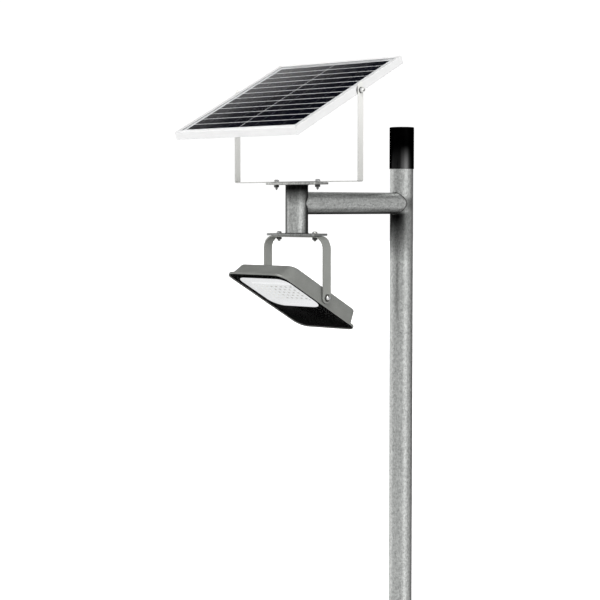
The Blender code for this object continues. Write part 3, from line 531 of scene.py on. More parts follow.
STEEL_TONE = (0.42, 0.43, 0.42)
COOL_WHITE = (0.98, 0.99, 1.0)
ANODISED = {"rough": (0.38, 0.5), "specular": 0.15, "grain": 500.0, "bump": (800.0, 0.06, 0.00005)}
cap_low, cap_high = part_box("pole_cap")
M = {
    "steel": galvanised("galvanised_steel", STEEL_TONE),
    "pole": galvanised("galvanised_pole", STEEL_TONE, pole_painted_shade),
    # The arm and the upper plate are lighter copies of the galvanised steel, painted light; the lower plate
    # is a darker copy, painted shade
    "arm": galvanised("galvanised_arm_painted_light_and_shade", (0.555, 0.567, 0.555), arm_painted_shade, (1, 0.02, 1), (1, 0.16, 1)),
    "stub": galvanised("galvanised_stub", STEEL_TONE, stub_painted_shade),
    "upper_plate": galvanised("galvanised_upper_painted_light", (0.46, 0.465, 0.45)),
    "lower_plate": galvanised("galvanised_lower_painted_shade", (0.24, 0.245, 0.24)),
    "weld": plain("weld_metal", grey(0.22), (0.36, 0.36, 0.35), (0.35, 0.5), 0.8, bump=(500.0, 0.3, 0.0002)),
    # The brackets' finishes carry painted shade towards the foot and painted light on the left leg
    "white": painted_shade_and_light(plain("white_powder_coat", (0.66, 0.66, 0.637), (0.70, 0.70, 0.677), (0.36, 0.46),
                              bump=(1100.0, 0.12, 0.0001)), 2.24, 2.075, 0.70, 1.36),
    "grey": painted_shade_and_light(plain("grey_powder_coat", (0.224, 0.229, 0.214), (0.262, 0.267, 0.25), (0.42, 0.55),
                             0.15, bump=(1200.0, 0.3, 0.00015)), 2.0, 1.9, 0.98, 1.36),
    "casting": plain("grey_cast_coat", (0.158, 0.163, 0.152), (0.216, 0.221, 0.208), (0.4, 0.54), 0.15,
                     bump=(800.0, 0.35, 0.0002)),
    "rail": plain("pale_anodised_aluminium", grey(0.83), grey(0.89), stretch=(0.03, 1, 1), **ANODISED),
    # The side rails are a darker copy of the rails' aluminium: painted shade
    "side_rail_painted_shade": plain("pale_anodised_painted_shade", grey(0.655), grey(0.70), stretch=(1, 0.03, 1), **ANODISED),
    "zinc": zinc(),
    "dark_zinc": plain("dark_zinc", grey(0.05), (0.09, 0.09, 0.088), (0.3, 0.45), 0.8),
    # The cap's mirror strength carries a painted reflection
    "cap": black_gloss("gloss_black_cap", 0.0002, 0.125, (0.16, 0.22), (cap_high.z - 0.040, cap_low.z)),
    "mask": black_gloss("black_glass_print", 0.003, 0.012, (0.16, 0.24)),
    "plastic": plain("moulded_black", grey(0.012), grey(0.02), (0.45, 0.6), bump=(1500.0, 0.35, 0.0001)),
    "rubber": plain("seal_rubber", grey(0.014), grey(0.022), (0.7, 0.85)),
    "nylon": plain("natural_nylon", (0.80, 0.80, 0.77), (0.86, 0.86, 0.83), (0.4, 0.5)),
    "backsheet": plain("white_backsheet", (0.80, 0.81, 0.82), (0.86, 0.87, 0.88), (0.45, 0.6),
                       bump=(300.0, 0.1, 0.0001)),
    "ribbon": plain("tinned_ribbon", grey(0.55), grey(0.72), (0.25, 0.4), 0.9),
    "busbar": plain("dark_busbar", (0.06, 0.06, 0.07), (0.10, 0.10, 0.11), (0.3, 0.4), 0.8),
    "silicon": silicon(),
    "panel_glass": clear("panel_glass", (0.01, 0.01, 0.014), 0.05, 0.2),
    "lamp_glass": clear("lamp_glass", (0.02, 0.022, 0.022), 0.03, 0.4),
    # The tray, the board and the LEDs glow as painted light that makes the window evenly white; the LED
    # packages and faces glow more left of the middle, which fades their marks there
    "tray": painted_glow(plain("reflector_white", grey(0.24), grey(0.26), (0.3, 0.4)), COOL_WHITE, 0.68),
    "board": painted_glow(plain("white_board", (0.24, 0.245, 0.24), (0.26, 0.265, 0.26), (0.35, 0.45)),
                 COOL_WHITE, 0.65),
    "package": painted_glow(plain("led_package", (0.22, 0.225, 0.22), (0.25, 0.255, 0.25), (0.35, 0.45)),
                   COOL_WHITE, 0.44, 0.635),
    "phosphor": painted_glow(plain("led_phosphor", (0.24, 0.23, 0.19), (0.26, 0.25, 0.21), (0.4, 0.5)),
                    (1.0, 0.97, 0.88), 0.30, 0.635),
    "green_board": plain("green_board", (0.02, 0.16, 0.06), (0.03, 0.22, 0.08), (0.3, 0.4)),
    "wrap": plain("battery_wrap", (0.03, 0.12, 0.32), (0.05, 0.17, 0.42), (0.3, 0.4)),
}


# Pole, arm, stub and welds

def steel_piece(name, bm, mat, replaces=(), crease=40):
    piece(name, bm, mat, "post", replaces, crease=crease)


def saddle(x, gap):
    """The places along Y, x off the arm's middle, where the pole's and the stub's walls meet the arm."""
    at_pole = -math.sqrt((POLE_RADIUS + gap) ** 2 - x * x)
    at_stub = -ARM_REACH + math.sqrt((TUBE_RADIUS + gap) ** 2 - x * x)
    return at_pole, at_stub


def make_tubes():
    low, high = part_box("pole_tube")
    inner = POLE_RADIUS - TUBE_WALL
    edge = 0.0004
    profile = [(POLE_RADIUS - edge, low.z), (POLE_RADIUS, low.z + edge), (POLE_RADIUS, high.z - edge),
               (POLE_RADIUS - edge, high.z), (inner, high.z), (inner, low.z)]
    steel_piece("pole", turned(profile, TUBE_SEGMENTS), "pole", ["pole_tube"])

    low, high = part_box("stub_tube")
    inner = TUBE_RADIUS - TUBE_WALL
    profile = [(TUBE_RADIUS, low.z), (TUBE_RADIUS, high.z), (inner, high.z), (inner, low.z)]
    stub = turned(profile, TUBE_SEGMENTS, matrix=Matrix.Translation((0, -ARM_REACH, 0)))
    steel_piece("stub", stub, "stub", ["stub_tube"])

    arm = bmesh.new()
    turns = [math.tau * (i + 0.5) / TUBE_SEGMENTS for i in range(TUBE_SEGMENTS)]
    rings = [[arm.verts.new((radius * math.cos(a), saddle(radius * math.cos(a), GAP)[end],
                             ARM_HEIGHT + radius * math.sin(a))) for a in turns]
             for radius, end in ((TUBE_RADIUS, 0), (TUBE_RADIUS, 1), (inner, 1), (inner, 0))]
    steel_piece("arm", skinned(arm, rings + rings[:1], False), "arm", ["arm_tube"])


def make_cap():
    radius = (cap_high.x - cap_low.x) / 2
    bore = POLE_RADIUS + GAP
    round_off, rim, roof = 0.0022, 0.0005, 0.0012
    profile = [(0, cap_high.z)] + arc((radius - round_off, cap_high.z - round_off), round_off, 90, 0, 6)
    profile += arc((radius - rim, cap_low.z + rim), rim, 0, -90, 3)
    profile += [(bore, cap_low.z), (bore, cap_high.z - roof), (0, cap_high.z - roof)]
    piece("cap", turned(profile, TUBE_SEGMENTS), "cap", "post", ["pole_cap"])


def bead(bm, path, radius, closed=True, ripple=0.0011):
    """Add a weld bead with fine ripples, as a row of rings along a path."""
    sides = 8
    depth = 0.13
    points = [Vector(p) for p in path]
    if closed:
        points.append(points[0])
    lengths = [0.0]
    for first, second in zip(points, points[1:]):
        lengths.append(lengths[-1] + (second - first).length)
    count = max(12, int(lengths[-1] / (ripple / 2)))
    centres, waves, k = [], [], 0
    for i in range(count if closed else count + 1):
        along = lengths[-1] * i / count
        while k < len(points) - 2 and lengths[k + 1] < along:
            k += 1
        share = (along - lengths[k]) / max(lengths[k + 1] - lengths[k], 1e-9)
        centres.append(points[k].lerp(points[k + 1], min(share, 1.0)))
        waves.append(math.sin(math.tau * along / ripple / 2))
    rings = []
    last = len(centres) - 1
    for i, centre in enumerate(centres):
        before = centres[i - 1] if closed or i else centre
        after = centres[(i + 1) % len(centres)] if closed or i < last else centre
        ahead = (after - before).normalized()
        side = ahead.orthogonal().normalized() if i == 0 else (side - ahead * side.dot(ahead)).normalized()
        up = ahead.cross(side)
        size = radius * (1 + depth * (waves[i] - 1) / 2)
        if not closed and i in (0, last):
            size *= 0.5
        rings.append([bm.verts.new(centre + size * (side * math.cos(a) + up * math.sin(a)))
                      for a in (math.tau * n / sides for n in range(sides))])
    if closed:
        # The first ring follows the last one again, turned so that they join with the least twist
        start, end = rings[0], rings[-1]
        twist = min(range(sides), key=lambda s: sum((end[n].co - start[(n + s) % sides].co).length
                                                    for n in range(sides)))
        rings.append(start[twist:] + start[:twist])
    return skinned(bm, rings, not closed)


def arm_weld_path(end):
    """Round the arm at the pole, end 0, or at the stub, end 1."""
    radius = TUBE_RADIUS + 0.0003
    turns = [math.tau * i / 160 for i in range(160)]
    return [(radius * math.cos(a), saddle(TUBE_RADIUS * math.cos(a), 0.0004)[end],
             ARM_HEIGHT + radius * math.sin(a)) for a in turns]


def circle(radius, height, centre_y=0.0):
    return [(x, centre_y + y, height) for x, y in polar(TUBE_SEGMENTS, radius)]


def make_welds():
    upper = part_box("upper_plate")[0].z
    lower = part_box("lower_plate")[1].z
    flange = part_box("base_flange")[1].z
    stub_weld = TUBE_RADIUS + 0.0002

    # The bead at the arm's root is a real weld, made dark as painted shadow round the arm's end
    steel_piece("arm_root_weld_painted_shadow", bead(bmesh.new(), arm_weld_path(0), 0.0010), "dark_zinc", crease=80)
    bm = bead(bmesh.new(), arm_weld_path(1), 0.0010)
    bead(bm, circle(stub_weld, lower + 0.0004, -ARM_REACH), 0.0011)
    steel_piece("arm_welds", bm, "arm", crease=80)
    bm = bead(bmesh.new(), circle(stub_weld, upper - 0.0004, -ARM_REACH), 0.0011)
    steel_piece("stub_top_weld", bm, "dark_zinc", crease=80)

    bm = bead(bmesh.new(), circle(POLE_RADIUS + 0.0012, flange + 0.0010), 0.0032, ripple=0.0016)
    low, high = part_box("base_gusset_1")
    for turn in range(4):
        about = Matrix.Rotation(math.radians(90 * turn), 4, "Z")
        for side in (-1, 1):
            y = side * ((high.y - low.y) / 2 + 0.0006)
            foot = [(POLE_RADIUS + 0.004, y, flange + 0.0009), (high.x - 0.002, y, flange + 0.0009)]
            back = [(POLE_RADIUS + 0.0010, y, flange + 0.004), (POLE_RADIUS + 0.0010, y, high.z - 0.002)]
            for line in (foot, back):
                bead(bm, [about @ Vector(p) for p in line], 0.0024, False, 0.0016)
    steel_piece("base_welds", bm, "weld", crease=80)


# Fasteners. A bolt is its shank's radius, its head's radius and height, and its socket's width.

PLATE_BOLT = (0.0030, 0.0055, 0.0040, 0.0032)
PANEL_BOLT = (0.0029, 0.0037, 0.0028, 0.0025)
LAMP_BOLT = (0.0039, 0.0065, 0.0048, 0.0045)
BOX_SCREW = (0.0010, 0.0024, 0.0013, 0.0016)
BOARD_SCREW = (0.0010, 0.0022, 0.0011, 0.0014)
WASHER_THICK = 0.0012


def socket_bolt(matrix, bolt, length, point=0.0, bm=None):
    """A domed bolt with a hexagon socket, its head on Z 0 and its threaded shank below."""
    shank, head, head_height, flats = bolt
    pitch, thread, tip = 0.0010, 0.00035, 0.0008
    rows = [(0.25 * shank, -length - point), (0.35 * shank, -length - point + 0.0001),
            (shank - tip / 2, -length)]
    height = -length + tip
    while height < -pitch:
        rows += [(shank, height), (shank - thread, height + pitch / 2)]
        height += pitch
    rows += [(shank, 0.0), (head - 0.0002, 0.0)]
    rim = 0.35 * head_height
    steep = 58
    for x, z in arc((0, rim), 1.0, 0, steep, 7):
        rows.append((head * x, rim + (head_height - rim) * z / math.sin(math.radians(steep))))
    socket = hexagon_radius(flats)
    rows += [(head * 0.55 * 0.93, head_height), (lambda a: socket(a) + 0.0002, head_height),
             (socket, head_height - 0.0002), (socket, head_height * 0.4)]
    return stacked(rows, 48, False, bm, matrix)


def four_screws(bolt, length, middle, reach_x, reach_y, matrix=HERE):
    """Screws at the corners of a rectangle, their heads down."""
    bm = bmesh.new()
    for x in (-1, 1):
        for y in (-1, 1):
            corner = (middle[0] + x * reach_x, middle[1] + y * reach_y, middle[2])
            socket_bolt(matrix @ Matrix.Translation(corner) @ UPSIDE_DOWN, bolt, length, bm=bm)
    return bm


def hex_nut(matrix, bore, height):
    """A nut on Z 0, its corners cut by a cone at both faces."""
    flats, chamfer = 0.010, 0.0004
    corner = hexagon_radius(flats)

    def cut(lift):
        """The hexagon within a cone that opens with the lift from a face."""
        return lambda a: min(corner(a), flats / 2 - 0.0002 + 1.7 * lift)

    lifts = (0.0, 0.0002, 0.0004, 0.0006, 0.0009)
    rows = [(bore + chamfer, 0.0)]
    rows += [(cut(lift), lift) for lift in lifts]
    rows += [(cut(lift), height - lift) for lift in reversed(lifts)]
    rows += [(bore + chamfer, height), (bore, height - chamfer), (bore, chamfer)]
    return stacked(rows, 72, True, None, matrix)


def washer(matrix, radius, bore, thick):
    edge = 0.0002
    profile = [(bore, 0), (radius - edge, 0), (radius, edge), (radius, thick - edge), (radius - edge, thick),
               (bore, thick)]
    return turned(profile, matrix=matrix)


def cable_gland(name, node, matrix, thread, body, bore):
    """A gland with a hexagon body and a ribbed dome nut."""
    inside = -0.004
    corner = hexagon_radius(body * 1.76)

    def ribs(a):
        return body * 0.94 * (1 - 0.035 * (math.cos(18 * a) > 0))

    rows = [(bore, inside), (thread, inside), (thread, 0.0003), (body * 0.86, 0.0003), (corner, 0.0008),
            (corner, 0.0046), (body * 0.84, 0.0050), (body * 0.84, 0.0057), (ribs, 0.0064), (ribs, 0.0112)]
    rows += [(body * (0.62 + 0.30 * x), 0.0114 + 0.0036 * z) for x, z in arc((0, 0), 1.0, 18, 90, 4)]
    rows += [(bore + 0.0006, 0.0150), (bore, 0.0144)]
    bm = stacked(rows, 72, True, None, matrix)
    piece(name, bm, "plastic", body_of(node), [node], crease=35)


def fastener(name, bm, mat, node):
    piece(name, bm, mat, body_of(node), [node])


def on_pivot(pivot, x, turn):
    """A place along a pivot's axis."""
    return pivot @ Matrix.Translation((x, 0, 0)) @ turn


def make_plate_bolts():
    for bracket, spacing, point in (("panel_bracket", 0.1195, 0.0026), ("lamp_bracket", 0.104, 0.0006)):
        for side, sign, _, _ in SIDES:
            x = sign * spacing / 2
            low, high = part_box(f"{bracket}_bolt_{side}")
            seat = high.z - PLATE_BOLT[2]
            bolt = socket_bolt(Matrix.Translation((x, -ARM_REACH, seat)), PLATE_BOLT, seat - low.z, point)
            fastener(f"{bracket}_screw_{side}", bolt, "zinc", f"{bracket}_bolt_{side}")
            low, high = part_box(f"{bracket}_nut_{side}")
            nut = hex_nut(Matrix.Translation((x, -ARM_REACH, low.z)), 0.0033, high.z - low.z)
            fastener(f"{bracket}_hex_{side}", nut, "dark_zinc", f"{bracket}_nut_{side}")


def make_panel_pivots():
    head, spacer, ring = 0.1731, 0.1753, 0.1794
    nut = ring + WASHER_THICK + GAP
    nut_height = 0.0040
    tip = nut + 0.008
    for side, sign, outward, inward in SIDES:
        bolt = socket_bolt(on_pivot(PANEL, sign * head, inward), PANEL_BOLT, tip - head)
        fastener(f"panel_pivot_screw_{side}", bolt, "zinc", f"panel_pivot_bolt_{side}")
        bm = washer(on_pivot(PANEL, sign * spacer, outward), 0.0098, 0.0032, 0.0015)
        piece(f"panel_pivot_spacer_ring_{side}", bm, "plastic", "panel",
              [f"panel_pivot_spacer_{side}"])
        bm = washer(on_pivot(PANEL, sign * ring, outward), 0.0062, 0.0032, WASHER_THICK)
        fastener(f"panel_pivot_washer_ring_{side}", bm, "dark_zinc", f"panel_pivot_washer_{side}")
        bm = hex_nut(on_pivot(PANEL, sign * nut, outward), 0.0032, nut_height)
        fastener(f"panel_pivot_hex_{side}", bm, "zinc", f"panel_pivot_nut_{side}")
        bm = washer(on_pivot(PANEL, sign * (nut + nut_height + 0.00005), outward), 0.0044, 0.0031, 0.0013)
        piece(f"panel_pivot_insert_{side}", bm, "nylon", "panel")


def make_lamp_pivots():
    ring = 0.0875
    head = ring + WASHER_THICK + GAP
    tip = 0.071
    for side, sign, outward, _ in SIDES:
        bolt = socket_bolt(on_pivot(LAMP, sign * head, outward), LAMP_BOLT, head - tip)
        fastener(f"lamp_pivot_screw_{side}", bolt, "zinc", f"lamp_pivot_bolt_{side}")
        bm = washer(on_pivot(LAMP, sign * ring, outward), 0.008, 0.0042, WASHER_THICK)
        fastener(f"lamp_pivot_ring_{side}", bm, "dark_zinc", f"lamp_pivot_washer_{side}")


# Panel, drawn about its pivots

def panel_piece(name, bm, mat, replaces=(), bevel=0.0):
    piece(name, bm, mat, "panel", replaces, PANEL, bevel)


def make_frame():
    # The side rails take the darker copy of the aluminium, painted shade
    for side, mat in (("front", "rail"), ("rear", "rail"), ("left", "side_rail_painted_shade"), ("right", "side_rail_painted_shade")):
        refined(f"frame_rail_{side}", mat, 0.0003, PANEL)


def make_laminate():
    """The glass, the backsheet and the cells. Glass bends a shallow view, so the cells look as if they
    lay close under its face: they are put there."""
    low, high = node_span("panel_glass", PANEL)
    pane = box((low.x, low.y, high.z - 0.0008), high)
    panel_piece("panel_pane", pane, "panel_glass", ["panel_glass"], 0.0002)
    refined("panel_backsheet", "backsheet", 0.0, PANEL)

    half_x, half_y = PANEL_HALF_X - RAIL_WALL, PANEL_HALF_Y - RAIL_WALL
    back = high.z - 0.0015
    sheet = box((-half_x, PANEL_MIDDLE - half_y, 0.0061), (half_x, PANEL_MIDDLE + half_y, back + 0.0005))
    panel_piece("cell_sheet", sheet, "backsheet", ["solar_cells"])

    # The cells, ribbons and bars lie on the sheet in thin layers, hundredths of a millimetre apart
    columns = spans(CELL_COLUMNS, CELL_WIDTH, CELL_GAP)
    rows = [(y0 + PANEL_MIDDLE, y1 + PANEL_MIDDLE) for y0, y1 in spans(CELL_ROWS, CELL_HEIGHT, CELL_GAP)]
    cells = bmesh.new()
    chip, trim = 0.0012, 0.00045
    for x0, x1 in columns:
        for low_y, high_y in rows:
            y0, y1 = low_y + trim, high_y - trim
            outline = [(x0 + chip, y0), (x1 - chip, y0), (x1, y0 + chip), (x1, y1 - chip),
                       (x1 - chip, y1), (x0 + chip, y1), (x0, y1 - chip), (x0, y0 + chip)]
            lofted([(outline, back + 0.00051), (outline, back + 0.00053)], bm=cells)
    panel_piece("cells", cells, "silicon")

    bars, tabs = bmesh.new(), bmesh.new()
    first_y, last_y = rows[0][0], rows[-1][1]
    bar_half, tab_half, tab_length = 0.0004, 0.0006, 0.0052
    for x0, x1 in columns:
        for share in (0.25, 0.75):
            x = x0 + share * (x1 - x0)
            box((x - bar_half, first_y, back + 0.00054), (x + bar_half, last_y, back + 0.00056), bars)
            for y0, y1 in ((first_y - tab_length, first_y), (last_y, last_y + tab_length)):
                box((x - tab_half, y0, back + 0.00052), (x + tab_half, y1, back + 0.00056), tabs)
    low_x, high_x = columns[0][0] + 0.02, columns[-1][1] - 0.02
    for y in (first_y - tab_length, last_y + 0.0030):
        box((low_x, y, back + 0.00057), (high_x, y + 0.0022, back + 0.0006), tabs)
    panel_piece("busbars", bars, "busbar")
    panel_piece("bus_ribbons", tabs, "ribbon")


def make_junction_box():
    refined("junction_box", "plastic", 0.0005, PANEL)
    refined("junction_box_lid", "plastic", 0.0006, PANEL)
    lid_low = node_span("junction_box_lid", PANEL)[0].z
    screws = four_screws(BOX_SCREW, 0.0020, (0, JUNCTION_BOX_Y, lid_low + 0.0004), 0.030, 0.021, PANEL)
    piece("junction_screws", screws, "zinc", "panel")
    low, high = node_span("junction_box", PANEL)
    gland_at = PANEL @ Matrix.Translation((0, low.y, (low.z + high.z) / 2)) @ TO_MINUS_Y
    cable_gland("junction_gland", "junction_box_gland", gland_at, 0.0042, 0.0056, 0.0022)


# Lamp, drawn about the middle of its front face

def lamp_piece(name, bm, mat, replaces=(), crease=40):
    piece(name, bm, mat, "lamp", replaces, FACE, crease=crease)


def lamp_outline(side_inset, front_inset, pole_inset, corner):
    half_y = LAMP_LENGTH / 2
    ends = (front_inset - half_y, half_y - pole_inset)
    return rounded_outline(LAMP_WIDTH / 2 - side_inset, ends, corner, CORNER_STEPS)


def eased(first, corner, last, steps):
    """Shapes that run from first to last round a corner."""
    shares = [i / steps for i in range(steps + 1)]
    return [tuple((1 - t) ** 2 * a + 2 * t * (1 - t) * b + t * t * c for a, b, c in zip(first, corner, last))
            for t in shares]


def make_housing():
    """The case. A shape is its insets at the sides, the front and the pole's end, its corner radius and
    its height: up over the rear face, down the tapered wall, round the lip and into the hollow."""
    depth, lip, corner = LAMP_DEPTH, 0.0048, LAMP_CORNER
    rebate = (0.0013, 0.0016, 0.0016, corner - 0.0014)
    mouth = (0.0064, 0.0135, 0.0135, 0.0180)
    floor = (0.0072, 0.0305, 0.0205, 0.0130)
    shapes = eased((0.0066, 0.0325, 0.0222, 0.0140, depth), (0.0029, 0.0276, 0.0171, 0.0168, depth),
                   (0.0026, 0.0262, 0.0163, 0.0172, depth - 0.0042), 8)
    shapes += eased((0.0018, 0.0085, 0.0116, 0.0220, lip + 0.0018),
                    (0.0018, 0.0079, 0.0114, 0.0221, lip + 0.0004),
                    (0.0012, 0.0055, 0.0080, 0.0235, lip + 0.0001), 4)
    shapes += eased((0.0004, 0.0004, 0.0004, corner, lip), (0.0, 0.0, 0.0, corner, lip),
                    (0.0, 0.0, 0.0, corner, lip - 0.0006), 3)
    shapes += eased((0.0, 0.0, 0.0, corner, 0.0006), (0.0, 0.0, 0.0, corner, 0.0),
                    (0.0006, 0.0006, 0.0006, corner - 0.0006, 0.0), 3)
    shapes += [(*rebate, 0.0), (*rebate, 0.00405), (*mouth, 0.00405), (*floor, depth - 0.003)]
    bm = lofted([(lamp_outline(*shape[:4]), shape[4]) for shape in shapes])
    lamp_piece("lamp_case", bm, "casting", ["lamp_housing"], 50)


def make_rear():
    depth = LAMP_DEPTH
    fins = bmesh.new()
    low_y, high_y = -0.085, 0.030
    for start, end in spans(9, 0.0022, 0.0108):
        middle, half = (start + end) / 2, (end - start) / 2
        rows = []
        for draft, height in ((-0.0007, -0.0006), (-0.0002, 0.0002), (0.0, 0.0007), (0.00015, 0.0022),
                              (0.0004, 0.0028), (0.0007, 0.003)):
            radius = max(half - draft, 0.0003)
            outline = rounded_outline(radius, (low_y + draft, high_y - draft), radius * 0.98, 4)
            rows.append(([(x + middle, y) for x, y in outline], depth + height))
        lofted(rows, bm=fins)
    lamp_piece("rear_fins", fins, "casting", crease=50)

    bosses = bmesh.new()
    pivot = Matrix.Translation((0, -LAMP_FACE[1], -LAMP_FACE[2]))
    profile = [(0, 0.0775), (0.0105, 0.0775), (0.0105, 0.0806), (0.0091, 0.0812), (0.0083, 0.0821),
               (0.0080, 0.0828), (0.0077, 0.0832), (0.0045, 0.0832), (0.0045, 0.0790), (0, 0.0790)]
    for _, _, outward, _ in SIDES:
        turned(profile, 64, bosses, pivot @ outward)
    lamp_piece("pivot_bosses", bosses, "casting", crease=50)

    fitting_y = 0.070
    fittings = (("lamp_gland", "lamp_cable_gland", 0, 0.0058, 0.0078, 0.0030),
                ("vent_plug", "lamp_vent_plug", -0.038, 0.0040, 0.0060, 0.0010))
    for name, node, x, thread, body, bore in fittings:
        cable_gland(name, node, FACE @ Matrix.Translation((x, fitting_y, depth)), thread, body, bore)
        profile = [(0, depth - 0.001), (body + 0.0036, depth - 0.001), (body + 0.0024, depth + 0.0001),
                   (body + 0.0018, depth + 0.00025), (0, depth + 0.00025)]
        seat = turned(profile, 64, matrix=Matrix.Translation((x, fitting_y, 0)))
        lamp_piece(f"{name}_seat", seat, "casting")


def make_front():
    glass_edge = (0.0016, 0.0019, 0.0019, LAMP_CORNER - 0.0017)
    face, back = GAP / 2, GAP / 2 + 0.0025
    edge = 0.0004
    inner = tuple(value + (edge if i < 3 else -edge) for i, value in enumerate(glass_edge))
    loops = [(inner, face), (glass_edge, face + edge), (glass_edge, back - edge), (inner, back)]
    bm = lofted([(lamp_outline(*shape), height) for shape, height in loops])
    lamp_piece("front_glass", bm, "lamp_glass", ["lamp_glass"], 60)
    refined("glass_gasket", "rubber", 0.0, FACE)

    # The printed border lies on the back of the glass, out to the glass's own edge. Its window has larger
    # corners at the pole's end, which come first in the outline, than at the front
    front, rear = back + 0.00004, back + 0.00024
    half = 2 * (CORNER_STEPS + 1)
    at_pole, at_front = (rounded_outline(0.0702, (-0.1095, 0.0278), radius, CORNER_STEPS)
                         for radius in (0.030, 0.023))
    window = at_pole[:half] + at_front[half:]
    outer = lamp_outline(*glass_edge)
    bm = lofted([(outer, front), (outer, rear), (window, rear), (window, front)], ring=True)
    lamp_piece("glass_print", bm, "mask", ["window_mask"])


def make_tray():
    """A white tray that flares from its floor to a flat rim behind the glass."""
    rim = 0.00395

    def around(reach, corner, height):
        ends = (-0.115 - reach, 0.0278 + reach)
        return rounded_outline(0.0725 + reach, ends, corner, CORNER_STEPS), height

    rows = [around(-0.0043, 0.0185, 0.0092), around(0.0015, 0.0235, rim + 0.0012),
            around(0.0030, 0.0250, rim + 0.0012), around(0.0030, 0.0250, rim),
            around(0.0003, 0.0223, rim), around(-0.0004, 0.0217, rim + 0.0004),
            around(-0.0050, 0.0176, 0.0074), around(-0.0062, 0.0165, 0.0080)]
    lamp_piece("light_tray", lofted(rows), "tray", ["reflector_tray"], 30)


def make_leds():
    """The LED board: packages with a phosphor face, between round screw heads."""
    top, middle = 0.0080 - GAP, -0.036
    half_x, half_y = 0.057, 0.037
    outline = rounded_outline(half_x, (middle - half_y, middle + half_y), 0.002, 3)
    bm = lofted([(outline, top - 0.0012), (outline, top)])
    lamp_piece("led_plate", bm, "board", ["led_board"])

    def on_each_led(half, corner, levels):
        """The same small square shape on every LED, from (inset, height below the board's top) levels."""
        bm = bmesh.new()
        for x0, x1 in spans(8, 0.005, 0.0087):
            for y0, y1 in spans(5, 0.005, 0.0087):
                shift = Matrix.Translation(((x0 + x1) / 2, (y0 + y1) / 2 + middle, 0))
                lofted([(rounded_outline(half - inset, (inset - half, half - inset), corner, 2), top - below)
                        for inset, below in levels], bm=bm, matrix=shift)
        return bm

    package = ((0.0, 0.00125), (0.0, 0.0017), (0.0002, 0.0019), (0.0006, 0.0019), (0.0009, 0.0016))
    lamp_piece("led_array", on_each_led(0.0025, 0.0004, package), "package")
    phosphor = ((0.0, 0.0015), (0.0, 0.0018), (0.0004, 0.0020))
    lamp_piece("led_faces", on_each_led(0.0016, 0.0003, phosphor), "phosphor")
    screws = four_screws(BOARD_SCREW, 0.0008, (0, middle, top - 0.0012), half_x - 0.0035, half_y - 0.0035)
    lamp_piece("board_screws", screws, "package")


def make_flat_steel():
    """The brackets, plates, base flange and gussets."""
    refined("panel_bracket", "white", 0.00035)
    refined("lamp_bracket", "grey", 0.00045)
    refined("upper_plate", "upper_plate", 0.0005)
    refined("lower_plate", "lower_plate", 0.0005)
    refined("base_flange", "steel", 0.0010)
    for i in range(4):
        refined(f"base_gusset_{i + 1}", "steel", 0.0006)


def paint_inner():
    """The pieces inside the lamp keep their CAD shapes."""
    inner = {"battery_holder": "plastic", "charge_controller": "green_board"}
    inner.update({f"battery_cell_{i + 1}": "wrap" for i in range(4)})
    for node, mat in inner.items():
        data = NODES[node].data
        data.materials.clear()
        data.materials.append(M[mat])


make_tubes()
make_cap()
make_welds()
make_flat_steel()
make_plate_bolts()
make_panel_pivots()
make_lamp_pivots()
make_frame()
make_laminate()
make_junction_box()
make_housing()
make_rear()
make_front()
make_tray()
make_leds()
paint_inner()


# Floor, light and camera

CAMERA_AZIMUTH = 43.0


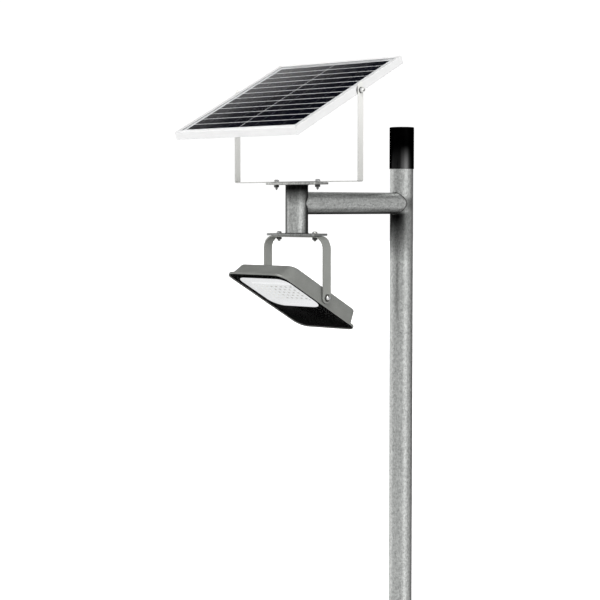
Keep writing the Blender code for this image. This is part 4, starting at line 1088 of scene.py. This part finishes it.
def make_world():
    """A white room: bright low walls and floor, strip lights either side, a dim ceiling and back."""
    world = bpy.data.worlds.new("studio")
    bpy.context.scene.world = world
    world.use_nodes = True
    tree = world.node_tree
    tree.nodes.clear()
    way = add(tree, "TexCoord").outputs["Generated"]
    height = axis(tree, way, 2)

    def strip(azimuth, inner, outer, strength):
        """A strip of light on the wall, full to inner degrees from its azimuth and ended at outer."""
        full, end = math.cos(math.radians(inner)), math.cos(math.radians(outer))
        return ranged(tree, facing(tree, way, CAMERA_AZIMUTH + azimuth), end, full, 0.0, strength, True)

    def rising(low, high, strength_low, strength_high):
        """A strength that changes smoothly between two heights of the view."""
        return ranged(tree, height, low, high, strength_low, strength_high, True)

    level = times(tree, rising(0.30, 0.72, 1.0, 0.18), rising(-0.40, -0.24, 1.7, 1.0),
                  rising(-0.82, -0.40, 0.10, 1.0))
    dim = times(tree, strip(152, 24, 72, 0.84), rising(0.12, 0.50, 1.0, 0.45))
    base = times(tree, level, maths(tree, "SUBTRACT", 1.0, dim), 0.68)
    strips = times(tree, maths(tree, "ADD", strip(39, 6, 25, 0.8), strip(-128, 22, 46, 0.6)),
                   rising(0.30, 0.50, 1.0, 0.0), rising(-0.70, -0.40, 0.0, 1.0))
    # The wall behind ends in a soft slanting edge, which the panel mirrors as a sheen on its far left
    behind = times(tree, strip(193, 16, 30, 1.0), rising(0.14, 0.30, 0.0, 1.0))
    edge = vector(tree, "DOT_PRODUCT", way, direction(202.52, -53.37))
    sheen = times(tree, ranged(tree, edge, -0.001, 0.0135, 0.0, 0.72), behind)
    elsewhere = times(tree, maths(tree, "ADD", base, strips), maths(tree, "SUBTRACT", 1.0, behind))
    total = maths(tree, "ADD", elsewhere, sheen)
    room = add(tree, "Background", {"Color": (1.0, 1.0, 1.0, 1.0), "Strength": total})
    seen = add(tree, "Background", {"Color": (1.0, 1.0, 1.0, 1.0), "Strength": 1.05})
    camera_ray = add(tree, "LightPath").outputs["Is Camera Ray"]
    shown = add(tree, "MixShader", {0: camera_ray, 1: room.outputs[0], 2: seen.outputs[0]})
    add(tree, "OutputWorld", {"Surface": shown.outputs[0]})


def make_sun(name, azimuth, elevation, strength, angle, glossy=False):
    data = bpy.data.lights.new(name, "SUN")
    data.energy = strength
    data.angle = math.radians(angle)
    obj = new_object(name, data)
    obj.rotation_euler = direction(azimuth, elevation).to_track_quat("Z", "Y").to_euler()
    obj.visible_glossy = glossy


def make_floor():
    outline = polar(96, 90.0)
    bm = lofted([(outline, -0.02), (outline, -0.0006)])
    mesh = bpy.data.meshes.new("floor")
    bm.to_mesh(mesh)
    bm.free()
    floor = new_object("floor", mesh)
    made, tree, shader = new_material("floor_white")
    colour = mixed(tree, noise(tree, 2.0, 2.0, 0.5), grey(0.84), grey(0.86))
    feed(shader, {"Base Color": colour, "Roughness": 0.9, "Specular IOR Level": 0.0})
    mesh.materials.append(painted_glow(made, grey(1.0), 0.62))
    for ray in ("diffuse", "glossy", "transmission", "shadow"):
        setattr(floor, f"visible_{ray}", False)


def make_camera():
    data = bpy.data.cameras.new("camera")
    data.sensor_width = 36.0
    data.lens = 96.0
    data.clip_end = 300.0
    obj = new_object("camera", data)
    obj.location = (2.32667, -2.83505, 2.01975)
    obj.rotation_euler = (math.radians(90 - 3.34), 0.0, math.radians(CAMERA_AZIMUTH))
    bpy.context.scene.camera = obj


make_world()
make_sun("key", CAMERA_AZIMUTH - 6, 48, 2.0, 30, glossy=True)
make_sun("side_fill", 82, 4, 1.2, 50)
make_sun("low_fill", -15, -30, 0.7, 60)
make_sun("back_fill", CAMERA_AZIMUTH + 180, 40, 1.2, 40)
make_floor()
make_camera()
bpy.context.scene.view_settings.view_transform = "Standard"
